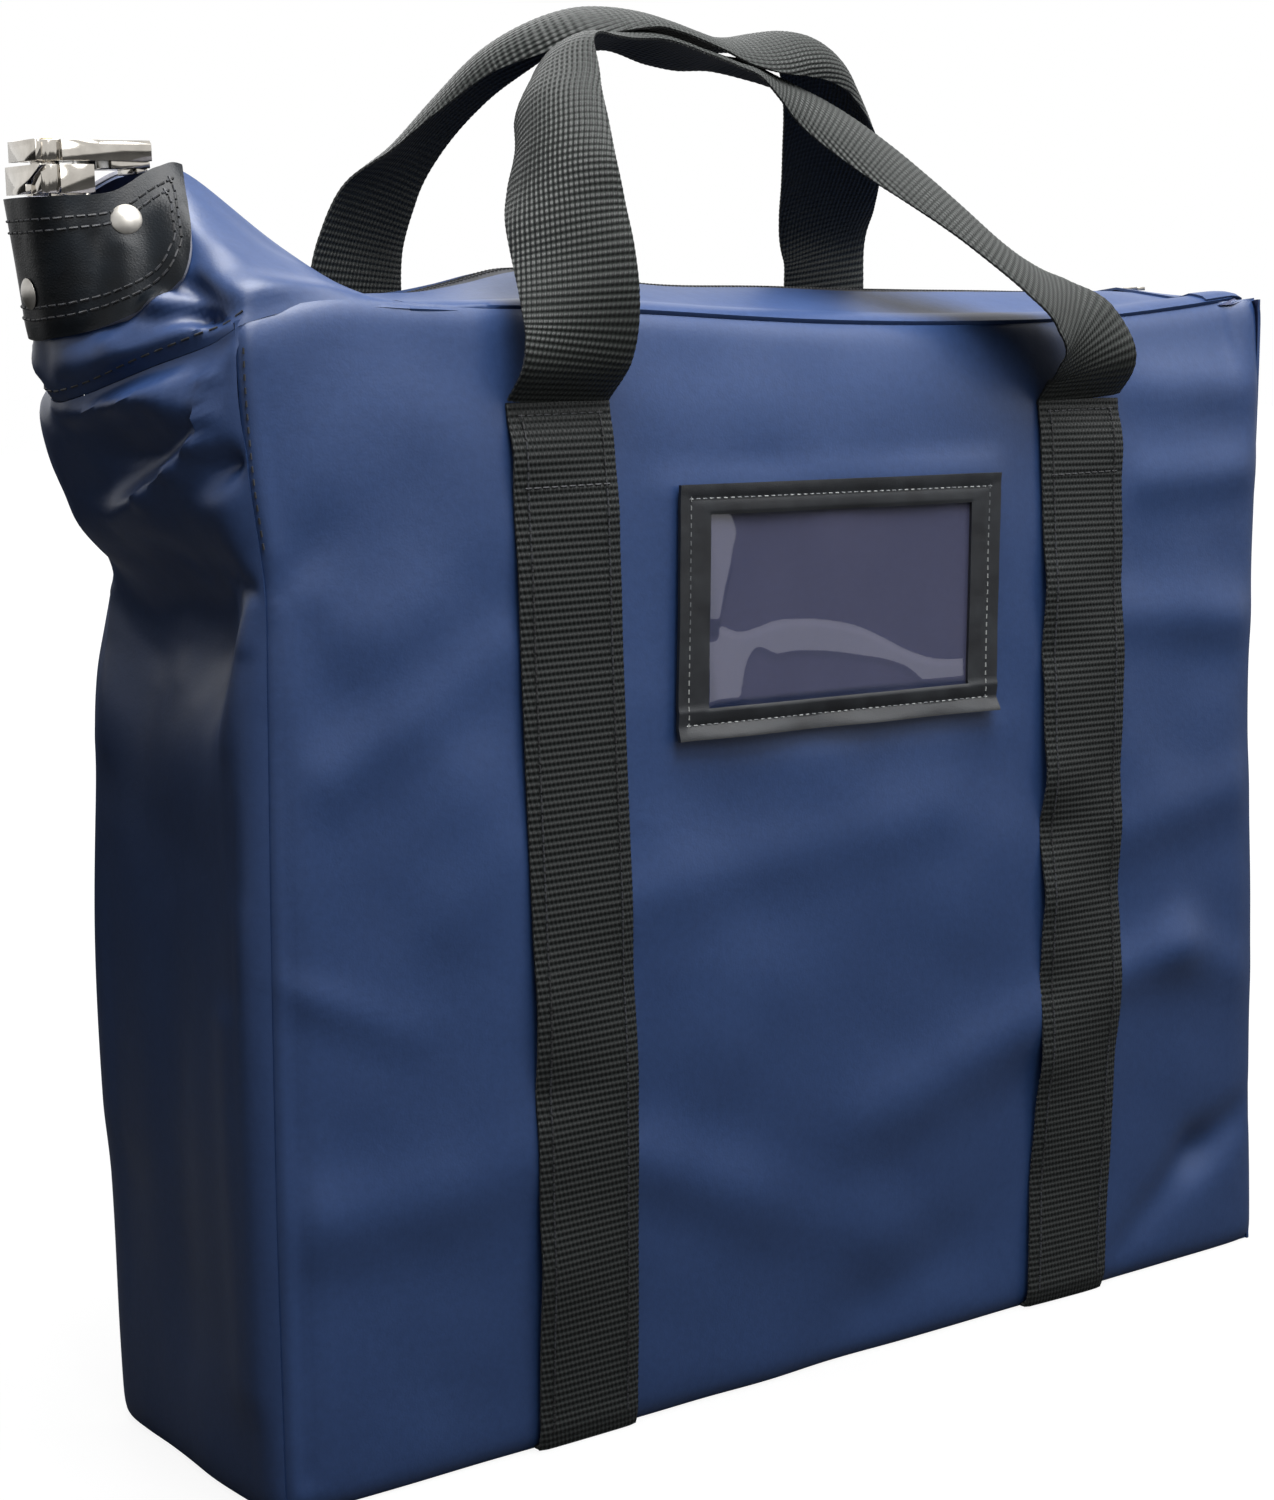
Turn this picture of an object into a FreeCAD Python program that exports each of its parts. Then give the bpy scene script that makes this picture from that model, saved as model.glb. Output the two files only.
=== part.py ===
# Cash deposit bag: a soft zip-top carrier with a lock on the raised end of its zip, two webbing
# handles and a card pocket. Millimetres. The origin is the middle of the base, on the ground;
# +X runs to the right along the front, the front faces -Y, and +Z is up.
import FreeCAD, Part
import math
import os

Vec = FreeCAD.Vector
AXIS_X = Vec(1, 0, 0)
AXIS_Y = Vec(0, 1, 0)
AXIS_Z = Vec(0, 0, 1)

# Body of the bag
bag_length = 420.0
bag_depth = 116.0
seam_height = 357.4           # top edges of the front and back panels
fabric = 1.2                  # laminated nylon with its backing
fit = 0.1                     # air between pieces that are sewn or riveted together
board_thickness = 2.5
half_length = bag_length / 2
half_depth = bag_depth / 2
inner_depth = bag_depth - 2 * fabric - 2 * fit

# Webbing: the two loops that run round the bag
web_width = 38.0
web_thickness = 2.0
left_strap_x = -103.0
right_strap_foot_x = 108.0
front_right_top_x = 116.5     # the front right strap leans outwards as it rises
back_right_top_x = 98.0
left_sewn_height = 334.0      # above these the webbing is free and becomes the handle
right_sewn_height = 327.0
strap_feet = [left_strap_x, right_strap_foot_x]

# Handles
handle_pivot_y = 61.6
handle_start_gap = 1.3
folded_half_width = 6.5       # where the webbing is folded lengthwise in the hand
folded_thickness = 4.0
hand_tilt_y = -0.9            # slope of the folded webbing across the hand
hand_tilt_z = 0.44

# Zip along the top: each half is a fabric flap with zip tape and a coil of teeth
flap_left_x = -147.4
flap_right_x = 196.0
flap_hinge_y = 56.6
flap_hinge_z = 358.8
ridge_height = 367.5
end_tab_height = 362.4         # the closed end of the top, at the right
flap_slope = math.atan2(ridge_height - flap_hinge_z, flap_hinge_y)
flap_width = 43.0
tape_thickness = 0.8
tape_width = 15.0
coil_inner = 1.3              # half of the gap that the slider's wedge runs in
coil_width = 2.3
coil_height = 2.6

# Ear: the raised left end of the zip, which carries the lock
ear_base_x = -150.0
ear_base_z = 367.4
ear_slope = math.radians(30.5)
ear_zip_top_x = -209.0
ear_tape_half = 10.4

# Upper edge of the ear's front wall, from the top run of the zip to the nose
ear_rim = [
    Vec(ear_base_x, -12.6, ear_base_z),
    Vec(-203, -11.6, 403.2),
    Vec(-214, -12.6, 404.0),
    Vec(-229, -13.4, 397.2),
    Vec(-246.5, -13.2, 396.4),
    Vec(-251.4, -9.5, 396.4),
    Vec(-251.4, 0, 396.4),
]
# Lower edge: along the front seam to the corner, then down the seam to the side panel
ear_seam = [
    Vec(ear_base_x, -57.0, 358.6),
    Vec(-209.4, -57.2, 358.4),
    Vec(-216, -47.0, 353.0),
    Vec(-229, -30.0, 346.5),
    Vec(-239, -14.0, 340.5),
    Vec(-243.8, -7.0, 338.0),
    Vec(-243.8, 0, 337.6),
]
# How far down the wall the leather reaches, from its right-hand corner to the nose
leather_reach = [0.34, 0.60, 0.72, 0.74, 0.74, 0.74]
leather = 1.5
ear_steps = 2                 # divisions between two of the points above, and down the wall
ear_rows = 6
pinch_height = 286.0          # the side panel is flat below this and swells out to the ear above

# Lock
lock_left_x = -250.4
lock_body_right_x = -233.6
lock_body_half_width = 12.5
lock_body_top = 405.9
lock_head_bottom = 397.8      # the head stands on the collar's rim, and the shank below it is narrower
lock_body_bottom = 386.0
shank_half_width = 7.0
shank_radius = 5.5
end_plate = 1.8
barrel_x = -243.4
barrel_radius = 4.2
barrel_bottom = 391.0
body_housing_radius = 10.2
cap_housing_radius = 8.0
body_flat_start_x = -244.2    # where the flat sides begin, to the right of the round housings
cap_flat_start_x = -242.2
cap_right_x = -213.8
cap_half_width = 9.7
cap_bottom = 407.1
cap_top = 413.1
cap_travel = 6.0
cap_bevel = 1.1
lip_start_x = -226.2
lip_depth = 2.0
lip_half_width = 8.2
hook_start_x = -217.4
hook_depth = 1.6
hook_half_width = 6.5
stud_x = -228.2
stud_y = 6.5
stud_radius = 2.0
plug_radius = 3.0
running_fit = 0.05
pin_radius = 0.7
pin_heights = [394.6, 398.4, 402.2]
cam_thickness = 1.3
cam_reach = 5.0
cam_half_width = 1.1
cam_room = 0.3
cam_room_radius = 5.5
ledge_thickness = 2.0
spring_x = -235.7
spring_radius = 1.2
spring_wire = 0.3
spring_bore_radius = 1.7
spring_bottom = 390.0
spring_turns = 7

# Anchor plate inside the ear, and the rivets through it
plate_thickness = 2.0
rivet_radius = 1.6
rivet_head_radius = 4.6
rivet_head_height = 1.8
side_rivet_x = -227.3
side_rivet_y = 18.85          # where its heads sit on the leather
side_rivet_z = 390.0
side_rivet_lean = Vec(-0.30, -0.89, 0.335)
nose_rivet_x = -250.35
nose_rivet_z = 369.2
nose_rivet_lean = Vec(-0.99, 0, -0.13)
flange_x = -245.4

# Slider and its pull
slider_x = -203.0
slider_length = 13.0
slider_half_width = 4.8
plate_low = 1.6
plate_high = 2.8
flange_low = 0.75
flange_inner = 4.0
wedge_half_width = 0.9
bridge_half_width = 1.0
bridge_top = 5.4
pull_length = 16.0
pull_half_width = 3.5
pull_rod_radius = 0.7
pull_rod_height = 4.1

# Card pocket on the front
pocket_x = 8.0
pocket_z = 264.0
pocket_width = 136.0
pocket_height = 83.0
pocket_window_width = 111.0
pocket_window_height = 60.0
pocket_tilt = 2.0
pocket_frame = 1.4


def box(x0, x1, y0, y1, z0, z1):
    return Part.makeBox(x1 - x0, y1 - y0, z1 - z0, Vec(x0, y0, z0))


def cylinder(radius, start, direction, length):
    return Part.makeCylinder(radius, length, start, direction)


def mirrored(point):
    return Vec(point.x, -point.y, point.z)


def mix(a, b, share):
    return a + (b - a) * share


# A closed solid between two grids of points that match row by row.
def solid_between(outer, inner):
    faces = []

    def quad(a, b, c, d):
        for corners in ((a, b, c), (a, c, d)):
            faces.append(Part.Face(Part.makePolygon([*corners, corners[0]])))

    rows = len(outer)
    columns = len(outer[0])
    for r in range(rows - 1):
        for c in range(columns - 1):
            quad(outer[r][c], outer[r][c + 1], outer[r + 1][c + 1], outer[r + 1][c])
            quad(inner[r][c], inner[r + 1][c], inner[r + 1][c + 1], inner[r][c + 1])
    for r in range(rows - 1):
        for c in (0, columns - 1):
            quad(outer[r][c], outer[r + 1][c], inner[r + 1][c], inner[r][c])
    for c in range(columns - 1):
        for r in (0, rows - 1):
            quad(outer[r][c], inner[r][c], inner[r][c + 1], outer[r][c + 1])
    shell = Part.makeShell(faces)
    shell.sewShape()
    solid = Part.makeSolid(shell)
    if solid.Volume < 0:
        solid.reverse()
    return solid


# Points that divide each stretch of a line of points into equal steps.
def divided(points, steps):
    line = [points[0]]
    for a, b in zip(points, points[1:]):
        line += [mix(a, b, (i + 1) / steps) for i in range(steps)]
    return line


# A sheet of the given thickness whose middle surface stands off a grid of points by lift.
def sheet(rows, thickness, lift=0.0):
    last_row = len(rows) - 1
    last_column = len(rows[0]) - 1
    outer = []
    inner = []
    for r, row in enumerate(rows):
        outer.append([])
        inner.append([])
        for c, point in enumerate(row):
            down = rows[min(r + 1, last_row)][c] - rows[max(r - 1, 0)][c]
            along = row[min(c + 1, last_column)] - row[max(c - 1, 0)]
            normal = down.cross(along)
            normal.normalize()
            outer[-1].append(point + normal * (lift + thickness / 2))
            inner[-1].append(point + normal * (lift - thickness / 2))
    return solid_between(outer, inner)


# A strap through stations of (centre, direction towards its outer edge, half width, thickness).
# Its two ends are cut along that direction, and elsewhere it is square to the strap.
def strap(stations):
    upper = []
    lower = []
    for i, (centre, edge, half_width, thickness) in enumerate(stations):
        before = stations[max(i - 1, 0)][0]
        after = stations[min(i + 1, len(stations) - 1)][0]
        along = (after - before).normalize()
        is_end = i in (0, len(stations) - 1)
        across = edge if is_end else (edge - along * edge.dot(along)).normalize()
        normal = along.cross(across).normalize() * (thickness / 2)
        reach = across * half_width
        upper.append([centre + reach + normal, centre - reach + normal])
        lower.append([centre + reach - normal, centre - reach - normal])
    return solid_between(upper, lower)


# Fabric body

def strap_tunnel(x):
    half = web_width / 2 + fit
    return box(x - half, x + half, -half_depth - 5, half_depth + 5, -1, web_thickness + fit)


def upright_panel(side):
    outer = side * half_depth
    inner = side * (half_depth - fabric)
    panel = box(-half_length, half_length, min(outer, inner), max(outer, inner), 0, seam_height)
    for x in strap_feet:
        panel = panel.cut(strap_tunnel(x))
    return panel


# The base lies on the ground and is pressed up over the webbing that passes under it.
def base_panel():
    end = half_length - fabric - fit
    lift = web_thickness + fit
    low = [Vec(-end, 0, 0)]
    high = [Vec(-end, 0, fabric)]
    for x in strap_feet:
        for sign in (-1, 1):
            edge = x + sign * (web_width / 2 + fit)
            wall = edge + sign * fabric
            heights = (0, lift) if sign < 0 else (lift, 0)
            low += [Vec(edge, 0, height) for height in heights]
            high += [Vec(wall, 0, height + fabric) for height in heights]
    low.append(Vec(end, 0, 0))
    high.append(Vec(end, 0, fabric))
    outline = low + high[::-1]
    profile = Part.Face(Part.makePolygon([*outline, outline[0]]))
    profile.translate(Vec(0, -inner_depth / 2, 0))
    return profile.extrude(Vec(0, inner_depth, 0))


def base_board():
    end = half_length - 2 * fabric - 4
    side = inner_depth / 2 - 3
    bottom = web_thickness + fabric + 2 * fit
    return box(-end, end, -side, side, bottom, bottom + board_thickness)


def right_gusset():
    side = inner_depth / 2
    return box(half_length - fabric, half_length, -side, side, 0, seam_height)


# The left side panel: flat below, swelling out to meet the ear's seam above.
def left_gusset():
    x = -half_length + fabric / 2
    edge = inner_depth / 2 - 0.5
    drop = Vec(0, 0, -(fabric + 0.4))
    seam = [point + drop for point in ear_seam[1:]]
    seam[0] = Vec(x, -edge, seam[0].z)
    columns = [point.y for point in seam]
    swell = [0, 2, 7, 13, 15, 15]
    foot = [Vec(x, y, 0.2) for y in columns]
    pinch = [Vec(x, y, pinch_height) for y in columns]
    middle = [Vec(x - s, y, 318) for s, y in zip(swell, columns)]
    rows = []
    for front in (foot, pinch, middle, seam):
        back = [mirrored(point) for point in front[-2::-1]]
        rows.append(front + back)
    return sheet(rows, fabric)


def right_end_tab():
    side = flap_hinge_y + 0.4
    start = flap_right_x + 0.6
    left = [Vec(start, y, ridge_height - abs(y) * math.tan(flap_slope)) for y in (-side, 0, side)]
    right = [Vec(half_length - 0.4, y, end_tab_height - abs(y) * 0.06) for y in (-side, 0, side)]
    return sheet([left, right], fabric)


# Ear

def ear_wall(side):
    rim = divided(ear_rim, ear_steps)
    seam = divided(ear_seam, ear_steps)
    rows = [[mix(a, b, r / ear_rows) for a, b in zip(rim, seam)] for r in range(ear_rows + 1)]
    wall = sheet(rows, fabric)
    wall = wall.common(box(-260, -140, -60, -fit / 2, 330, 410))
    if side > 0:
        wall = wall.mirror(Vec(0, 0, 0), AXIS_Y)
    return drilled(wall)


# Clears the rivets' shafts out of a wall or the leather.
def drilled(shape):
    for shaft in rivet_shafts(fit):
        shape = shape.cut(shaft)
    return shape


# The leather wraps the nose in one piece and covers the top of both ear walls.
def leather_collar():
    lift = -(fabric / 2 + leather / 2 + 0.25)
    rim = divided(ear_rim[1:], ear_steps)
    seam = divided(ear_seam[1:], ear_steps)
    reaches = divided([Vec(reach, 0, 0) for reach in leather_reach], ear_steps)
    rows = []
    for r in range(ear_rows + 1):
        share = r / ear_rows
        front = [mix(a, b, share * reach.x - 0.01) for a, b, reach in zip(rim, seam, reaches)]
        rows.append(front + [mirrored(point) for point in front[-2::-1]])
    return drilled(sheet(rows, leather, lift))


# Puts a shape that is drawn about the ear's zip line, s along it downhill and t out of it, in place.
def on_ear(shape, x):
    z = ear_base_z + (ear_base_x - x) * math.tan(ear_slope)
    shape.rotate(Vec(0, 0, 0), AXIS_Y, math.degrees(ear_slope))
    shape.translate(Vec(x, 0, z))
    return shape


def ear_zip_length():
    return (ear_base_x - ear_zip_top_x) / math.cos(ear_slope) - 1.0


def ear_zipper_tape():
    half = tape_thickness / 2
    strips = []
    for side in (-1, 1):
        near = side * coil_inner
        far = side * ear_tape_half
        strips.append(box(0, ear_zip_length(), min(near, far), max(near, far), -half, half))
    return on_ear(Part.makeCompound(strips), ear_zip_top_x)


def coil_bar(side, start, end, middle_height):
    near = side * coil_inner
    far = side * (coil_inner + coil_width)
    half = coil_height / 2
    return box(start, end, min(near, far), max(near, far), middle_height - half, middle_height + half)


# The tape runs through a slot in the coil, so that neither fills the other.
def slotted_coil(side, start, end):
    bar = coil_bar(side, start, end, 0)
    half = tape_thickness / 2 + 0.02
    return bar.cut(box(start - 1, end + 1, -10, 10, -half, half))


def ear_zipper_teeth():
    bars = [slotted_coil(side, 0, ear_zip_length()) for side in (-1, 1)]
    return on_ear(Part.makeCompound(bars), ear_zip_top_x)


# Zip flaps

# A plate in a flap's own frame: s from its hinge towards the ridge, t out of the flap.
def flap_plate(s0, s1, t0, t1, side):
    plate = box(flap_left_x, flap_right_x, s0, s1, t0, t1)
    plate.rotate(Vec(0, 0, 0), AXIS_X, math.degrees(flap_slope))
    plate.translate(Vec(0, -flap_hinge_y, flap_hinge_z))
    if side > 0:
        plate = plate.mirror(Vec(0, 0, 0), AXIS_Y)
    return plate


def ridge_reach():
    return flap_hinge_y / math.cos(flap_slope)


def zip_flap(side):
    return flap_plate(0.6, flap_width, -fabric / 2, fabric / 2, side)


def zip_tape(side):
    end = ridge_reach() - coil_inner
    top = -fabric / 2 - 0.05
    return flap_plate(end - tape_width, end, top - tape_thickness, top, side)


def zip_teeth(side):
    end = ridge_reach() - coil_inner
    start = end - coil_width
    middle = -fabric / 2 - 0.05 - tape_thickness / 2
    near = tape_thickness / 2 + 0.02
    far = coil_height / 2
    low = flap_plate(start, end, middle - far, middle - near, side)
    high = flap_plate(start, end, middle + near, middle + far, side)
    return Part.makeCompound([low, high])


def zipper_end_stop():
    x = flap_right_x + 1.4
    return box(x, x + 4, -4, 4, ridge_height + 0.7, ridge_height + 2.0)


# Webbing

def sewn_strap(side, foot_x, top_x, top):
    y = side * (half_depth + fit + web_thickness / 2)
    bottom = web_thickness + fit
    flat = (AXIS_X, web_width / 2, web_thickness)
    return strap([(Vec(foot_x, y, bottom), *flat), (Vec(top_x, y, top), *flat)])


def base_strap(x):
    reach = half_depth + fit + web_thickness
    half = web_width / 2
    return box(x - half, x + half, -reach, reach, 0, web_thickness)


left_edge = (-1, 0, 0)
right_edge = (1, 0, 0)


# Each station is a point on the middle of the webbing with the direction to its outer edge.
def leg_station(x, y, z, edge):
    return (Vec(x, y, z), Vec(*edge), web_width / 2, web_thickness)


def hand_station(x, y, z, edge=(0, hand_tilt_y, hand_tilt_z), half_width=folded_half_width):
    share = (web_width / 2 - half_width) / (web_width / 2 - folded_half_width)
    thickness = web_thickness + share * (folded_thickness - web_thickness)
    return (Vec(x, y, z), Vec(*edge), half_width, thickness)


def front_handle():
    y = -handle_pivot_y
    return strap([
        leg_station(left_strap_x, y, left_sewn_height + handle_start_gap, left_edge),
        leg_station(-101, y - 0.6, 351, left_edge),
        leg_station(-98, y - 0.4, 369, left_edge),
        leg_station(-100.5, y + 1, 387, left_edge),
        leg_station(-101, -58, 401, (-0.98, -0.15, 0.05)),
        leg_station(-100, -54, 415, (-0.95, -0.3, 0.1)),
        leg_station(-96, -45, 427, (-0.88, -0.45, 0.14)),
        leg_station(-83, -33, 437, (-0.75, -0.6, 0.25)),
        hand_station(-64, -20, 446, (-0.5, -0.75, 0.4), 15),
        hand_station(-48, -12, 451, (-0.2, -0.86, 0.45), 10),
        hand_station(-40, -9.5, 453),
        hand_station(-28, -9, 452),
        hand_station(-20, -9, 449.5),
        hand_station(-12, -9, 447.2),
        hand_station(-3, -9, 446.2),
        hand_station(6, -9.5, 445),
        hand_station(14, -11, 440, (0.2, -0.8, 0.55), 8),
        hand_station(22, -13.5, 433.5, (0.45, -0.2, 0.85), 10),
        hand_station(31, -18, 427, (0.6, 0.3, 0.7), 13),
        hand_station(41, -26, 419.5, (0.66, 0.55, 0.52), 16),
        leg_station(52, -33, 410, (0.63, 0.64, 0.44)),
        leg_station(61, -42, 398, (0.71, 0.65, 0.28)),
        leg_station(68, -51, 388.5, (0.74, 0.65, 0.19)),
        leg_station(78, -57.5, 379, (0.77, 0.63, 0.13)),
        leg_station(89, -61, 371, (0.82, 0.55, 0.13)),
        leg_station(99, -62.6, 364, (0.9, 0.38, 0.08)),
        leg_station(110, -63.5, 355, (0.98, 0.17, 0.05)),
        leg_station(114, -62.6, 343, right_edge),
        leg_station(front_right_top_x, y, right_sewn_height + handle_start_gap, right_edge),
    ])


def back_handle():
    y = handle_pivot_y
    return strap([
        leg_station(left_strap_x, y, left_sewn_height + handle_start_gap, left_edge),
        leg_station(-105.5, y + 0.6, 352, left_edge),
        leg_station(-106, y + 0.4, 370, (-0.99, -0.1, 0)),
        leg_station(-104, 61, 385, (-0.98, -0.2, 0)),
        leg_station(-99, 56, 402, (-0.96, -0.28, 0)),
        leg_station(-92, 46, 416, (-0.84, -0.54, 0)),
        leg_station(-85, 32, 430, (-0.74, -0.67, 0.03)),
        leg_station(-75, 15, 444, (-0.67, -0.69, 0.29)),
        hand_station(-66, 6, 450, (-0.55, -0.74, 0.36), 16),
        hand_station(-56, 2, 453, (-0.35, -0.82, 0.43), 11),
        hand_station(-46, 0, 455),
        hand_station(-36, 0, 455.5),
        hand_station(-25, 0, 454.5),
        hand_station(-13, 0, 451),
        hand_station(-4, 0, 448.7),
        hand_station(6, 0, 448),
        hand_station(17, 1, 447.5, (0, -0.9, 0.44), 8),
        hand_station(28, 4, 447, (-0.1, -0.9, 0.42), 12),
        hand_station(38, 8, 446.5, (-0.2, -0.88, 0.42), 15),
        leg_station(48, 11, 445, (-0.2, -0.88, 0.42)),
        leg_station(60, 15, 442, (0.1, -0.9, 0.42)),
        leg_station(71, 21, 436, (0.45, -0.8, 0.4)),
        leg_station(80, 30, 426, (0.75, -0.55, 0.38)),
        leg_station(88, 42, 412, (0.93, -0.25, 0.25)),
        leg_station(93, 53, 399, (0.97, -0.15, 0.15)),
        leg_station(96.5, 60, 385, right_edge),
        leg_station(98.5, y + 0.6, 369, right_edge),
        leg_station(99, y + 0.8, 352, right_edge),
        leg_station(back_right_top_x, y, right_sewn_height + handle_start_gap, right_edge),
    ])


# Lock

# The head shows above the collar: an end plate, a round housing for the barrel and a flat-sided block.
def lock_head(half_width, housing_radius, flat_start_x, right_x, bottom, top):
    left = lock_left_x
    head = cylinder(housing_radius, Vec(barrel_x, 0, bottom), AXIS_Z, top - bottom)
    head = head.common(box(left, right_x, -half_width, half_width, bottom, top))
    head = head.fuse(box(left, left + end_plate, -half_width, half_width, bottom, top))
    head = head.fuse(box(flat_start_x, right_x, -half_width, half_width, bottom, top))
    return head


# The cam turns in this quarter of the body, below the ledge or, with the cap up, above it.
def cam_chamber(bottom, top):
    room = cylinder(cam_room_radius, Vec(barrel_x, 0, bottom), AXIS_Z, top - bottom)
    side = cam_half_width + 0.2
    return room.common(box(barrel_x - side, barrel_x + 10, -side, 10, bottom, top))


def lock_body():
    top = lock_body_top
    bottom = lock_head_bottom
    half = lock_body_half_width
    head = lock_head(half, body_housing_radius, body_flat_start_x, lock_body_right_x, bottom, top)
    # the end plate's front lower corner is cut away along a slant
    slant = [(-half - 1, top), (-1.6, top - 5.4), (-1.6, bottom - 1), (-half - 1, bottom - 1)]
    corners = [Vec(lock_left_x - 1, y, z) for y, z in slant]
    cut_away = Part.Face(Part.makePolygon([*corners, corners[0]])).extrude(Vec(1 + end_plate, 0, 0))
    head = head.cut(cut_away)
    low = lock_body_bottom
    shank = cylinder(shank_radius, Vec(barrel_x, 0, low), AXIS_Z, bottom - low)
    side = shank_half_width
    shank = shank.fuse(box(barrel_x - 1.5, lock_body_right_x + 1.2, -side, side, low, bottom))
    body = head.fuse(shank).removeSplitter()
    cam_bottom = barrel_bottom - cam_thickness
    shaft_bottom = cam_bottom - cam_room
    body = body.cut(cylinder(barrel_radius + running_fit, Vec(barrel_x, 0, shaft_bottom), AXIS_Z, 30))
    ledge_bottom = barrel_bottom + cam_room
    ledge_top = ledge_bottom + ledge_thickness
    chamber_top = barrel_bottom + cap_travel + cam_room
    body = body.cut(cam_chamber(shaft_bottom, ledge_bottom))
    body = body.cut(cam_chamber(ledge_top, chamber_top))
    slot = cam_half_width + 0.2
    slot_end = cam_room_radius + 0.3
    body = body.cut(box(barrel_x - slot, barrel_x + slot, 0, slot_end, shaft_bottom, chamber_top))
    return body.cut(cylinder(spring_bore_radius, Vec(spring_x, 0, spring_bottom), AXIS_Z, 30))


# The plate inside the ear that the lock stands on and the rivets pass through.
def lock_anchor_plate():
    half = plate_thickness / 2
    right = lock_body_right_x + 1.2 + fit
    under = lock_body_bottom - fit
    lug = box(right, -221.0, -half, half, 381.0, 395.0)
    foot = box(flange_x, -221.0, -half, half, 363.5, under)
    flange = box(flange_x, flange_x + plate_thickness, -5, 5, 363.5, 375.0)
    plate = lug.fuse(foot).fuse(flange).removeSplitter()
    hole = rivet_radius + fit
    plate = plate.cut(cylinder(hole, Vec(side_rivet_x, -5, side_rivet_z), AXIS_Y, 10))
    return plate.cut(cylinder(hole, Vec(flange_x - 1, 0, nose_rivet_z), AXIS_X, 12))


# The rivets' shafts, made wider by room to drill the walls and the leather.
def rivet_shafts(room):
    radius = rivet_radius + room
    side = cylinder(radius, Vec(side_rivet_x, -side_rivet_y, side_rivet_z), AXIS_Y, 2 * side_rivet_y)
    nose = cylinder(radius, Vec(nose_rivet_x, 0, nose_rivet_z), AXIS_X, 8.5)
    return [side, nose]


# A low dome that sits square on the leather.
def rivet_head(start, lean):
    direction = Vec(lean).normalize()
    ball_radius = rivet_head_radius * 1.6
    centre = start - direction * (ball_radius - rivet_head_height)
    ball = Part.makeSphere(ball_radius, centre)
    return ball.common(cylinder(rivet_head_radius, start, direction, rivet_head_height + 1))


def collar_rivets():
    side, nose = rivet_shafts(0)
    front_head = rivet_head(Vec(side_rivet_x, -side_rivet_y, side_rivet_z), side_rivet_lean)
    side = side.fuse(front_head).fuse(front_head.mirror(Vec(0, 0, 0), AXIS_Y))
    nose = nose.fuse(rivet_head(Vec(nose_rivet_x, 0, nose_rivet_z), nose_rivet_lean))
    return Part.makeCompound([side, nose])


def lock_cap():
    half = cap_half_width
    cap = lock_head(half, cap_housing_radius, cap_flat_start_x, cap_right_x, cap_bottom, cap_top)
    for sign in (-1, 1):
        edge = [(half, cap_top - cap_bevel), (half - cap_bevel, cap_top + 0.01), (half + 1, cap_top + 1)]
        corners = [Vec(lip_start_x - 4, sign * y, z) for y, z in edge]
        bevel = Part.Face(Part.makePolygon([*corners, corners[0]]))
        cap = cap.cut(bevel.extrude(Vec(20, 0, 0)))
    lip_bottom = cap_bottom - lip_depth
    lip = box(lip_start_x, cap_right_x, -lip_half_width, lip_half_width, lip_bottom, cap_bottom)
    hook_bottom = lip_bottom - hook_depth
    hook = box(hook_start_x, cap_right_x, -hook_half_width, hook_half_width, hook_bottom, lip_bottom)
    cap = cap.fuse(lip).fuse(hook).removeSplitter()
    return cap.cut(cylinder(barrel_radius, Vec(barrel_x, 0, cap_bottom - 1), AXIS_Z, 10))


def lock_barrel():
    height = cap_top - barrel_bottom
    barrel = cylinder(barrel_radius, Vec(barrel_x, 0, barrel_bottom), AXIS_Z, height)
    bore = plug_radius + running_fit
    barrel = barrel.cut(cylinder(bore, Vec(barrel_x, 0, barrel_bottom - 1), AXIS_Z, height + 2))
    for z in pin_heights:
        start = Vec(barrel_x + plug_radius - 1, 0, z)
        barrel = barrel.cut(cylinder(pin_radius + 0.03, start, AXIS_X, 2.0))
    return barrel


def key_plug():
    top = cap_top + 0.5
    plug = cylinder(plug_radius, Vec(barrel_x, 0, barrel_bottom), AXIS_Z, top - barrel_bottom)
    plug = plug.cut(box(barrel_x - 2.2, barrel_x + 2.2, -0.5, 0.5, top - 12, top + 1))
    for z in pin_heights:
        plug = plug.cut(cylinder(pin_radius + 0.03, Vec(barrel_x + 0.8, 0, z), AXIS_X, 4))
    return plug


def key_pins():
    length = plug_radius - 1.0
    pins = [cylinder(pin_radius, Vec(barrel_x + 0.9, 0, z), AXIS_X, length) for z in pin_heights]
    return Part.makeCompound(pins)


def driver_pins():
    start = barrel_x + plug_radius + running_fit + 0.05
    pins = [cylinder(pin_radius, Vec(start, 0, z), AXIS_X, 0.8) for z in pin_heights]
    return Part.makeCompound(pins)


def lock_cam():
    bottom = barrel_bottom - cam_thickness
    height = cam_thickness - 0.05
    hub = cylinder(3.0, Vec(barrel_x, 0, bottom), AXIS_Z, height)
    side = cam_half_width
    arm = box(barrel_x - side, barrel_x + side, 0, cam_reach, bottom, bottom + height)
    return hub.fuse(arm).removeSplitter()


def cap_spring():
    start = spring_bottom + spring_wire + 0.05
    height = cap_bottom - spring_wire - 0.05 - start
    helix = Part.makeHelix(height / spring_turns, height, spring_radius)
    ring = Part.Wire([Part.makeCircle(spring_wire, Vec(spring_radius, 0, 0), AXIS_Y)])
    coil = Part.Wire(helix.Edges).makePipeShell([ring], True, True)
    coil.translate(Vec(spring_x, 0, start))
    return coil


def cap_studs():
    bottom = cap_bottom - lip_depth
    studs = [cylinder(stud_radius, Vec(stud_x, y, bottom), AXIS_Z, lip_depth) for y in (-stud_y, stud_y)]
    return Part.makeCompound(studs)


# Slider

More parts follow.
